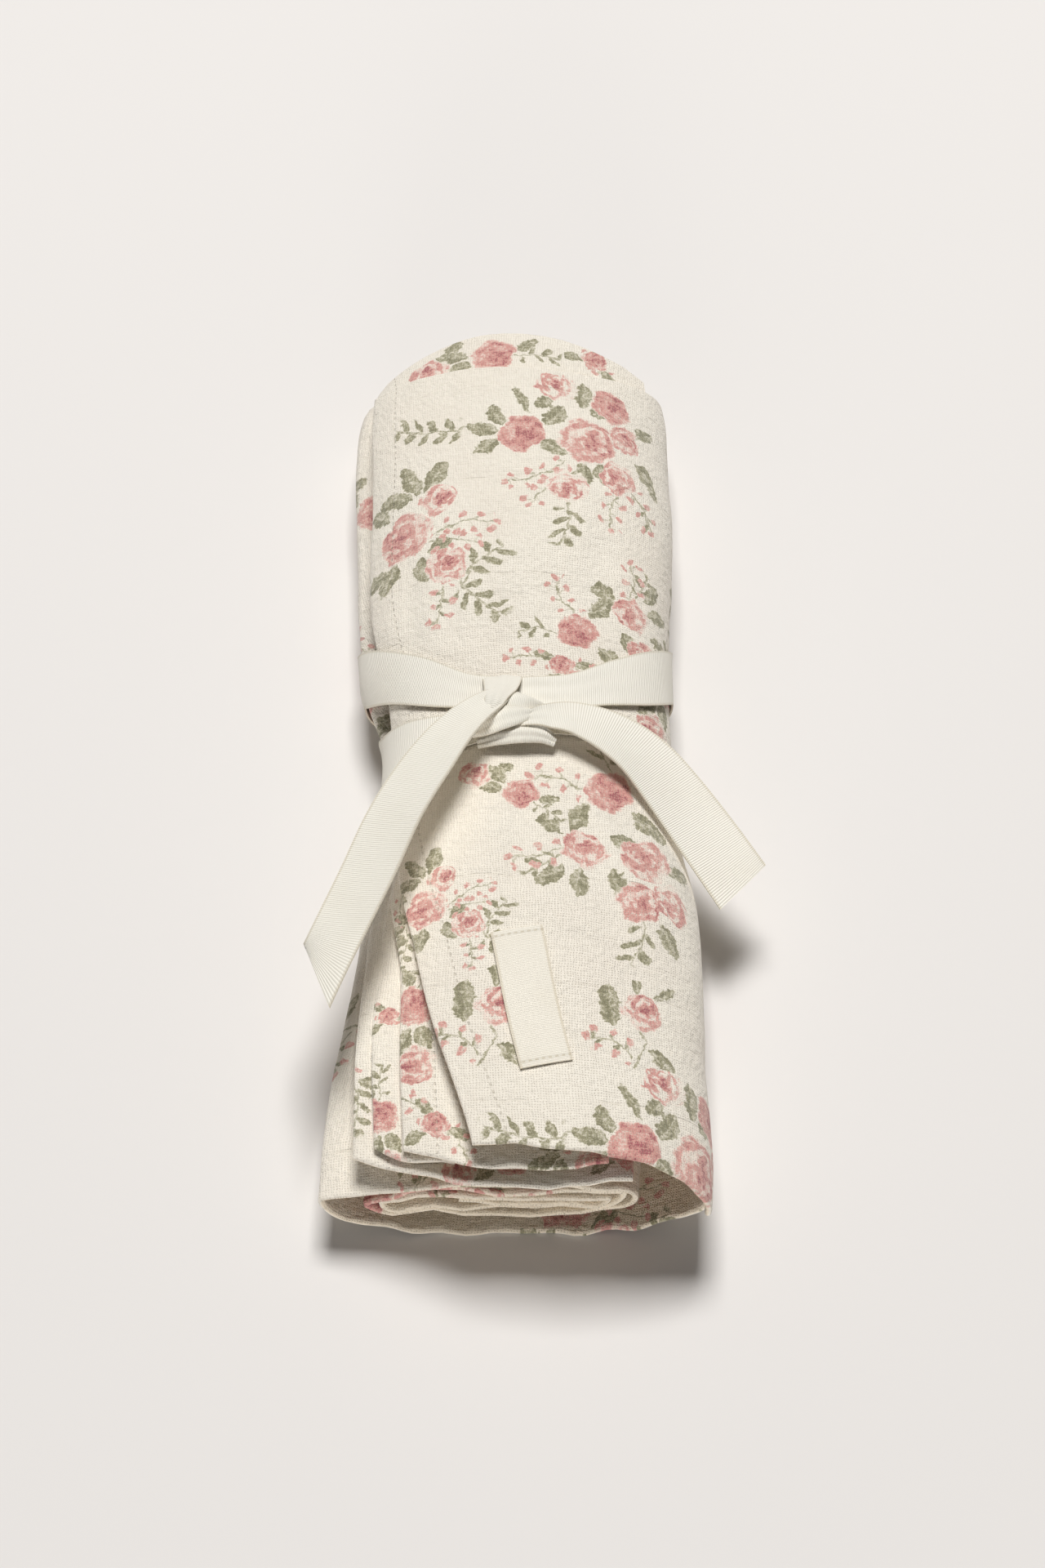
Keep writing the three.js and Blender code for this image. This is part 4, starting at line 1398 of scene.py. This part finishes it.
    def _uneven(self, sheet: Sheet, seed: int) -> Sheet:
        """Adds creases, slow lumps and wavy ends to a sheet."""
        u, v = sheet.cloth[..., 0], sheet.cloth[..., 1]
        clear = np.clip(sum(smooth((v - start) / run) for start, run in self.clear_of_ribbon), 0, 1)
        lumps = sum(layer.at(u, v, seed) for layer in self.lumps)
        lumps = lumps * mix(self.snug_lumps, 1, clear)
        folds = sum(crease.height(sheet.cloth) for crease in self.creases)
        start, run = self.rippled_from
        near_end = np.exp(-np.maximum(v - start, 0) / run)
        lifted = np.where(sheet.middle[..., 2] > self.under[0], 1, self.under[1])
        moved = sheet.moved((lumps + folds + self.ripple.at(u, v, seed) * near_end) * lifted)
        moved.middle[..., 1] += self.rim_wave.at(u, v, seed) * near_end
        return moved

    def _ruffled(self, sheet: Sheet, first: int) -> Sheet:
        """Ruffles the plies inside the roll at its open end, all of them together so that they stay apart.

        Args:
            sheet: the wound strip.
            first: its first column inside the roll.

        Returns:
            The ruffled strip.
        """
        inside = sheet.middle[:, first:]
        x, y, z = inside[..., 0], inside[..., 1], inside[..., 2]
        (start, run), (flat, grown) = self.ruffled_from, self.ruffled_over
        shown = np.exp(-np.maximum(y - start, 0) / run) * smooth((np.arange(x.shape[1]) - flat) / grown)
        # x, y and z are views, so each move shows in the ones after it.
        z += lattice_noise(x / 11, z / 30 + y / 60, 71) * self.ruffle[2] * shown
        x += lattice_noise(x / 30, z / 9 + y / 60, 72) * self.ruffle[0] * shown
        y += lattice_noise(x / 12, z / 5, 73) * self.ruffle[1] * shown
        return sheet

    def sheets(self) -> list[Sheet]:
        """Gives the wound strip and the loose plies."""
        columns = self.winding()
        inner = len(columns) - sum(item.columns - 1 for item in self.passes[2:])

        def hemmed(number: Grid, y: Grid, reach: Grid) -> Grid:
            """Gives the thickness of a ply beside its hem."""
            return mix(self.hem, self.form.ply, smooth(reach - self.hem_width)) + number * 0

        def wound(number: Grid, y: Grid, reach: Grid) -> Grid:
            """Gives the strip's thickness, which grows inside the closed roll."""
            inside = mix(self.form.ply, self.form.opened(self.band, y), smooth((number - inner) / 16))
            return np.where(number < inner, hemmed(number, y, reach), inside)

        strip = self._ruffled(self.lofted(columns, wound, 11), inner)
        loose = [self.lofted(self.loose_columns(n), hemmed, 40 + 7 * n) for n in range(len(self.loose))]
        return [strip, *loose]

    # -- print --
    def places(self) -> list[list[Place]]:
        """Gives the printed sprays of each sheet."""
        top = [
            Place(Spray.GARLAND, 20, 108),
            Place(Spray.CLUSTER, -30, 75),
            Place(Spray.BRANCH, 34, 33, 100, 0.95, True),
            Place(Spray.PAIR, 46, 15, 70, 1),
            Place(Spray.BUDS, 14, 20, 100, 0.9),
            Place(Spray.BRANCH, 33, -42, 0, 1.1),
            Place(Spray.STEM, 31, -106),
            Place(Spray.GARLAND, 51, -150, 4),
            Place(Spray.PAIR, -4, -25, -35, 0.72),
            Place(Spray.STEM, -10.5, -107, -8),
            Place(Spray.CLUSTER, -23, -67, 15, 0.72),
            Place(Spray.SPRIG, 68, 66, 70),
            Place(Spray.STEM, 72, -8, 200),
            Place(Spray.STEM, 78, -88, 60),
        ]
        sprays = [Spray.CLUSTER, Spray.BRANCH, Spray.GARLAND, Spray.STEM, Spray.PAIR]
        for row in range(5):
            for column in range(9):
                v = -138 + 70 * row + 35 * (column % 2)
                kind = sprays[(row * 2 + column * 3) % len(sprays)]
                top.append(Place(kind, 112 + 68 * column, v, 70 * row + 110 * column, 1, column % 2 == 0))
        beside = [
            [Place(Spray.PAIR, -17, 146, 4), Place(Spray.PAIR, -28, -109, 84, 0.9),
             Place(Spray.BUDS, -22, -138, 70, 0.9), Place(Spray.SPRIG, -32, -72, 80, 0.7),
             Place(Spray.BUDS, 26, 150, 40), Place(Spray.CLUSTER, 22, -147, 90, 0.7),
             Place(Spray.PAIR, -42, 40, 90), Place(Spray.PAIR, -42, 100, 80)],
            [Place(Spray.PAIR, -37, -140, 92, 0.75), Place(Spray.BUDS, -36, -100, 84, 0.7),
             Place(Spray.CLUSTER, -38, 50, 20)],
            [Place(Spray.SPRIG, -45, -120, 88, 0.8), Place(Spray.PAIR, -8, -147, 6, 0.7),
             Place(Spray.BUDS, 32, -146, 60)],
        ]
        return [top, *beside]

    def dress(self, piece: bpy.types.Object, sheets: Sequence[Sheet]) -> None:
        """Prints the sprays and gives each face its finish.

        Args:
            piece: the cloth.
            sheets: the sheets that it was made of, in order.
        """
        finish = MuslinFinish()
        weave, motifs = weave_group(), MotifGroups()
        sprays = list(Spray)
        piece.data.materials.append(finish.material("muslin_plain", weave, motifs, None))
        for spray in sprays:
            piece.data.materials.append(finish.material("muslin_" + spray.name.lower(), weave, motifs, spray))
        index, local = [], []
        for sheet, places in zip(sheets, self.places()):
            corners = np.concatenate([sheet.cloth.reshape(-1, 2)] * 2)[sheet.faces()]
            middle = corners.mean(1)
            outside = np.stack([place.distance(middle) for place in places])
            best = np.argmin(outside, 0)
            printed = outside[best, np.arange(len(middle))] < self.print_margin
            chosen = np.array([sprays.index(place.spray) + 1 for place in places])[best]
            index.append(np.where(printed, chosen, 0))
            placed = np.zeros_like(corners)
            for k, place in enumerate(places):
                mine = printed & (best == k)
                placed[mine] = place.local(corners[mine])
            local.append(placed)
        piece.data.polygons.foreach_set("material_index", np.concatenate(index).astype(np.int32))
        piece.data.uv_layers.new(name="print").uv.foreach_set("vector", np.concatenate(local).ravel())

    def build(self) -> bpy.types.Object:
        """Builds the cloth."""
        sheets = self.sheets()
        piece = mesh_of("swaddle_muslin", sheets, self.form)
        self.dress(piece, sheets)
        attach(piece, "root")
        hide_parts("swaddle_cloth")
        return piece


# ---- The ribbon ----
@dataclass(frozen=True)
class Stop:
    """A place on a ribbon's route: its middle, the ribbon's width and its roll about the route in degrees."""

    x: float
    y: float
    z: float
    width: float
    roll: float = 0


@dataclass
class RibbonTie:
    """The ribbon: two turns round the waist, the knot's crossing strips and two free tails."""

    form: RollForm = field(default_factory=RollForm)
    width: float = 20
    thick: float = 0.55
    gap: float = 1.0
    # Each turn's way round the roll (0 and 4 on top, 1 right, 2 below, 3 left), its middle's y and its width.
    turns: tuple[Table, ...] = (
        (
            (0, 7.6, 12), (0.15, 9, 13), (0.32, 15.2, 17), (0.52, 21.5, 20), (0.86, 30.8, 20),
            (1, 33.6, 20), (2, 30.5, 20), (3, 34.4, 20), (3.1, 32.2, 20), (3.42, 24.6, 20),
            (3.68, 16.5, 18.8), (3.85, 10.2, 13), (4, 7.6, 12),
        ),
        (
            (0, -3, 10), (0.22, -2.4, 11), (0.5, -6.4, 16), (0.8, -9.6, 20), (1, -10, 20), (2, -5, 20),
            (3, 1.2, 20), (3.22, -2, 20), (3.53, -4.6, 19.6), (3.68, -5.6, 18), (3.85, -4.2, 13), (4, -3, 10),
        ),
    )
    left_tail: tuple[Stop, ...] = (
        Stop(-3.6, 3.6, 54.4, 6), Stop(-7, -1, 57.2, 9, 6), Stop(-12.4, -6.8, 58.6, 12, 12),
        Stop(-18.6, -14.6, 58.4, 16.5, 22), Stop(-25.5, -26, 57.2, 20, 27), Stop(-34.6, -43, 56.2, 20, 27),
        Stop(-41.6, -59.5, 55.2, 20, 27), Stop(-48.4, -76.5, 54.2, 20, 27), Stop(-55.4, -96.6, 53.2, 20, 27),
    )
    right_tail: tuple[Stop, ...] = (
        Stop(-2, -6.6, 52.6, 4), Stop(4.4, -6, 54.4, 6, -6), Stop(10, -5, 53.4, 10.5, -12),
        Stop(18.4, -4.6, 51.4, 16, -18), Stop(28.8, -7.4, 48.8, 19.6, -18), Stop(38.4, -13, 45.6, 20, -14),
        Stop(47, -21.6, 41.2, 20, -8), Stop(57, -34.4, 35.4, 20), Stop(67.8, -49.6, 28.8, 20, 6),
    )
    strap: tuple[Stop, ...] = (
        Stop(-4.2, 14.6, 48.6, 12), Stop(-4.2, 11.6, 51.2, 11.6), Stop(-4.6, 6, 54.6, 10),
        Stop(-5.8, -0.4, 58.2, 7, 4), Stop(-7.2, -6, 58, 4.4, 4), Stop(-8, -9.6, 54.8, 3.6),
    )
    # The short folds that show round the knot: its rounded middle, one below the strap, and the bunched edge
    # of the lower turn.
    folds: tuple[tuple[Stop, ...], ...] = (
        (Stop(-13, -5.6, 49.6, 7), Stop(-9.6, -3.8, 53.6, 12), Stop(-4, -1.4, 56.2, 14),
         Stop(2, 0.6, 54.8, 12), Stop(6.4, 1.8, 51.4, 8), Stop(8.6, 2.2, 49, 4)),
        (Stop(-13, -9.8, 52.6, 2.6), Stop(-9.4, -9.2, 55.6, 6.4, 6), Stop(-4.6, -7.6, 57.4, 7.6, 10),
         Stop(0.4, -5.6, 56.6, 6.6, 6), Stop(4.6, -3.6, 54.4, 4.4), Stop(7.6, -2.2, 51.6, 3)),
        (Stop(-11, -11.8, 50.2, 3), Stop(-4.4, -11.2, 53, 5.2, 20), Stop(2.2, -10.8, 53.8, 5.8, 20),
         Stop(8.4, -11.2, 53.2, 4.8, 26), Stop(12.4, -12, 50.8, 3)),
    )
    # How far the edges of each fold, the strap and the tails rise; below 0 the piece is rounded.
    fold_cups: tuple[float, ...] = (-3.4, -1.2, -0.8)
    strap_cup: float = -0.8
    left_cup: float = 0.4
    right_cup: float = 0.3
    left_cut: float = -11
    right_cut: float = 2
    turn_pleats: Pair = (0.6, 2.5)  # the height and the number of pleats across a gathered turn
    run_pleats: Pair = (0.35, 2.2)

    def turn_sheet(self, turn: Table) -> Sheet:
        """Gives one turn of ribbon round the roll, gathered where it is narrow."""
        count, strips = 240, 14
        way = np.arange(count) / count * 4
        middle, width = along(turn, way), along(turn, way, 2)
        across = np.linspace(-0.5, 0.5, strips + 1)
        ys = middle[:, None] + across * width[:, None]
        x, z = self._round_roll(way[:, None] + ys * 0, ys)
        gathered = (1 - width / self.width)[:, None]
        height, number = self.turn_pleats
        z = z + height * gathered * np.cos(across * 2 * math.pi * number + 0.6)
        grid = np.stack([x, ys, z], -1)
        core = grid[:, strips // 2]
        step = np.linalg.norm(np.roll(core, -1, 0) - core, axis=1)
        run = np.r_[0, np.cumsum(step)[:-1]]
        cloth = np.stack([run[:, None] + ys * 0, across * self.width + ys * 0], -1)
        # The side that faces out comes first.
        return Sheet(grid[:, ::-1], np.full(ys.shape, self.thick), cloth[:, ::-1], cloth[:, ::-1] * 0, True)

    def _round_roll(self, way: Grid, y: Grid) -> Point:
        """Gives a point round the roll outside its cloth: way is 0 on top, 1 right, 2 below and 3 left."""
        s = self.form.section(y)
        lift = self.gap + self.thick / 2
        right = way <= 2
        upper = (way <= 1) | (way > 3)
        crown_z = np.where(upper, s.top + lift, s.base - lift)
        fold = (np.where(right, s.right + lift, s.left - lift), np.where(right, s.tip, s.tip_left))
        share = np.where(way <= 1, way, np.where(way <= 2, 2 - way, np.where(way <= 3, way - 2, 4 - way)))
        return self.form.quarter((0, crown_z), fold, share, np.where(upper, 1, self.form.flat_spot))

    def run_sheet(self, stops: Sequence[Stop], cut: float = 0, cup: float = 0) -> Sheet:
        """Gives a run of ribbon along a route.

        Args:
            stops: its route.
            cut: how far one edge of its last end runs past the middle.
            cup: how far its edges rise.

        Returns:
            The sheet.
        """
        rows = np.array([(s.x, s.y, s.z, s.width, s.roll) for s in stops], float)
        at = np.arange(len(rows), dtype=float)
        per_stop, strips = 14, 12
        fine = np.linspace(0, len(rows) - 1, (len(rows) - 1) * per_stop + 1)
        table = np.column_stack([at, rows])
        x, y, z, width, roll = (along(table, fine, k) for k in range(1, 6))
        centre = np.stack([x, y, z], -1)
        tangent = np.gradient(centre, axis=0)
        tangent /= np.linalg.norm(tangent, axis=1, keepdims=True)
        across = np.cross(tangent, (0, 0, 1))
        across /= np.linalg.norm(across, axis=1, keepdims=True)
        angle = np.radians(roll)[:, None]
        turned = across * np.cos(angle) + np.cross(tangent, across) * np.sin(angle)
        normal = np.cross(turned, tangent)
        shares = np.linspace(-0.5, 0.5, strips + 1)
        skew = np.clip(fine - fine[-1] + 1, 0, 1) ** 2 * 2 * cut
        grid = centre[:, None] + turned[:, None] * (shares[:, None] * width[:, None, None])
        grid = grid + tangent[:, None] * (shares * skew[:, None])[..., None]
        gathered = np.clip(1 - width / self.width, 0, 1)[:, None]
        height, number = self.run_pleats
        pleats = height * gathered * np.cos(shares * 2 * math.pi * number + 1)
        grid = grid + normal[:, None] * ((shares * 2) ** 2 * cup + pleats)[..., None]
        run = np.r_[0, np.cumsum(np.linalg.norm(np.diff(centre, axis=0), axis=1))]
        cloth = np.stack([run[:, None] + shares * 0, run[:, None] * 0 + shares * self.width], -1)
        return Sheet(grid, np.full(grid.shape[:2], self.thick), cloth, cloth * 0)

    def build(self) -> bpy.types.Object:
        """Builds the ribbon."""
        sheets = [self.turn_sheet(turn) for turn in self.turns]
        sheets += [self.run_sheet(stops, cup=cup) for stops, cup in zip(self.folds, self.fold_cups)]
        sheets.append(self.run_sheet(self.strap, cup=self.strap_cup))
        sheets.append(self.run_sheet(self.left_tail, self.left_cut, self.left_cup))
        sheets.append(self.run_sheet(self.right_tail, self.right_cut, self.right_cup))
        piece = mesh_of("grosgrain_tie", sheets, self.form)
        finish = GrosgrainFinish("ivory_grosgrain", srgb(0xFBF6E9), srgb(0xD6CAB0))
        piece.data.materials.append(finish.material())
        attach(piece, "root")
        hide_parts("ribbon_tie")
        return piece


# ---- The label ----
@dataclass
class SewnLabel:
    """The bare label tape on the top ply."""

    form: RollForm = field(default_factory=RollForm)
    width: float = 15
    length: float = 45
    thick: float = 0.7
    gap: float = 0.3
    x: float = 4.8
    y: float = -102.2
    turn: float = 11.5
    rib: float = 0.55
    seam: float = 1.6  # how far its stitches lie from its ends
    columns: int = 19
    rows: int = 55

    def build(self) -> bpy.types.Object:
        """Builds the label."""
        angle = math.radians(self.turn)
        u = np.linspace(-0.5, 0.5, self.columns)[None, :] * self.width
        v = np.linspace(-0.5, 0.5, self.rows)[:, None] * self.length
        x = self.x + u * math.cos(angle) - v * math.sin(angle)
        y = self.y + u * math.sin(angle) + v * math.cos(angle)
        s = self.form.section(y)
        side = np.where(x < 0, s.left, s.right)
        _, z = self.form.over(y, x / np.abs(side), self.gap + self.thick / 2)
        cloth = np.stack([v + u * 0, u + v * 0], -1)
        sheet = Sheet(np.stack([x, y, z], -1), np.full(x.shape, self.thick), cloth, cloth * 0)
        piece = mesh_of("label_tape", [sheet], self.form)
        finish = GrosgrainFinish(
            "label_weave", srgb(0xFDF6E7), srgb(0xD8C9AC),
            rib=self.rib, width=self.width, stitch_at=self.length / 2 - self.seam,
        )
        piece.data.materials.append(finish.material())
        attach(piece, "root")
        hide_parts("sewn_label")
        return piece


# ---- The room ----
@dataclass
class Studio:
    """The camera, the pale floor and the soft lights."""

    target: tuple[float, float, float] = (2.4, -6.5, 22)
    elevation: float = 54
    distance: float = 1000
    lens: float = 75
    sensor: float = 36
    floor: Colour = srgb(0xE9E5E1)
    floor_size: float = 8  # metres
    sky: Colour = (1, 0.985, 0.97)
    sky_strength: float = 0.07
    floor_roughness: float = 0.95
    floor_specular: float = 0.1
    # Each lamp's name, its place and side in metres, and its power in watts.
    lamps: tuple[tuple[str, tuple[float, float, float], float, float], ...] = (
        ("key", (0.02, 1.26, 3.5), 1.3, 138),
        ("fill", (-0.1, -1.7, 0.24), 0.5, 10),
    )

    def camera(self) -> None:
        """Places the camera."""
        data = bpy.data.cameras.new("camera")
        data.lens = self.lens
        data.sensor_width = self.sensor
        camera = bpy.data.objects.new("camera", data)
        bpy.context.scene.collection.objects.link(camera)
        rise = math.radians(self.elevation)
        x, y, z = self.target[0] + AXIS_AT[0], self.target[1] + AXIS_AT[1], self.target[2]
        at = (x, y - self.distance * math.cos(rise), z + self.distance * math.sin(rise))
        camera.location = [METRES * value for value in at]
        camera.rotation_euler = (math.pi / 2 - rise, 0, 0)
        bpy.context.scene.camera = camera

    def floor_plane(self) -> None:
        """Lays the floor."""
        bpy.ops.mesh.primitive_plane_add(size=self.floor_size, location=(0, 0, 0))
        floor = bpy.context.object
        floor.name = "floor"
        material, graph, shader = new_material("floor_paper")
        graph.fill(
            shader, Base_Color=(*self.floor, 1), Roughness=self.floor_roughness,
            Specular_IOR_Level=self.floor_specular,
        )
        floor.data.materials.append(material)

    def light(self, name: str, at: tuple[float, float, float], size: float, power: float) -> None:
        """Adds a square soft light that shines on the roll.

        Args:
            name: its name.
            at: its place, in metres.
            size: its side, in metres.
            power: its power, in watts.
        """
        data = bpy.data.lights.new(name, "AREA")
        data.size = size
        data.energy = power
        lamp = bpy.data.objects.new(name, data)
        bpy.context.scene.collection.objects.link(lamp)
        lamp.location = at
        lamp.rotation_euler = (-Vector(at)).to_track_quat("-Z", "Y").to_euler()

    def build(self) -> None:
        """Sets up the room."""
        scene = bpy.context.scene
        scene.view_settings.view_transform = "Standard"
        world = bpy.data.worlds.new("studio")
        world.use_nodes = True
        background = world.node_tree.nodes["Background"]
        background.inputs["Color"].default_value = (*self.sky, 1)
        background.inputs["Strength"].default_value = self.sky_strength
        scene.world = world
        for lamp in self.lamps:
            self.light(*lamp)
        self.floor_plane()


def main() -> None:
    """Builds the room and the blanket."""
    logging.basicConfig(level=logging.INFO, format="%(name)s: %(message)s")
    studio = Studio()
    studio.camera()
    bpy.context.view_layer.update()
    studio.build()
    for maker in (SwaddleCloth(), RibbonTie(), SewnLabel()):
        piece = maker.build()
        LOG.info("%s: %d faces", piece.name, len(piece.data.polygons))


if __name__ == "__main__":
    main()
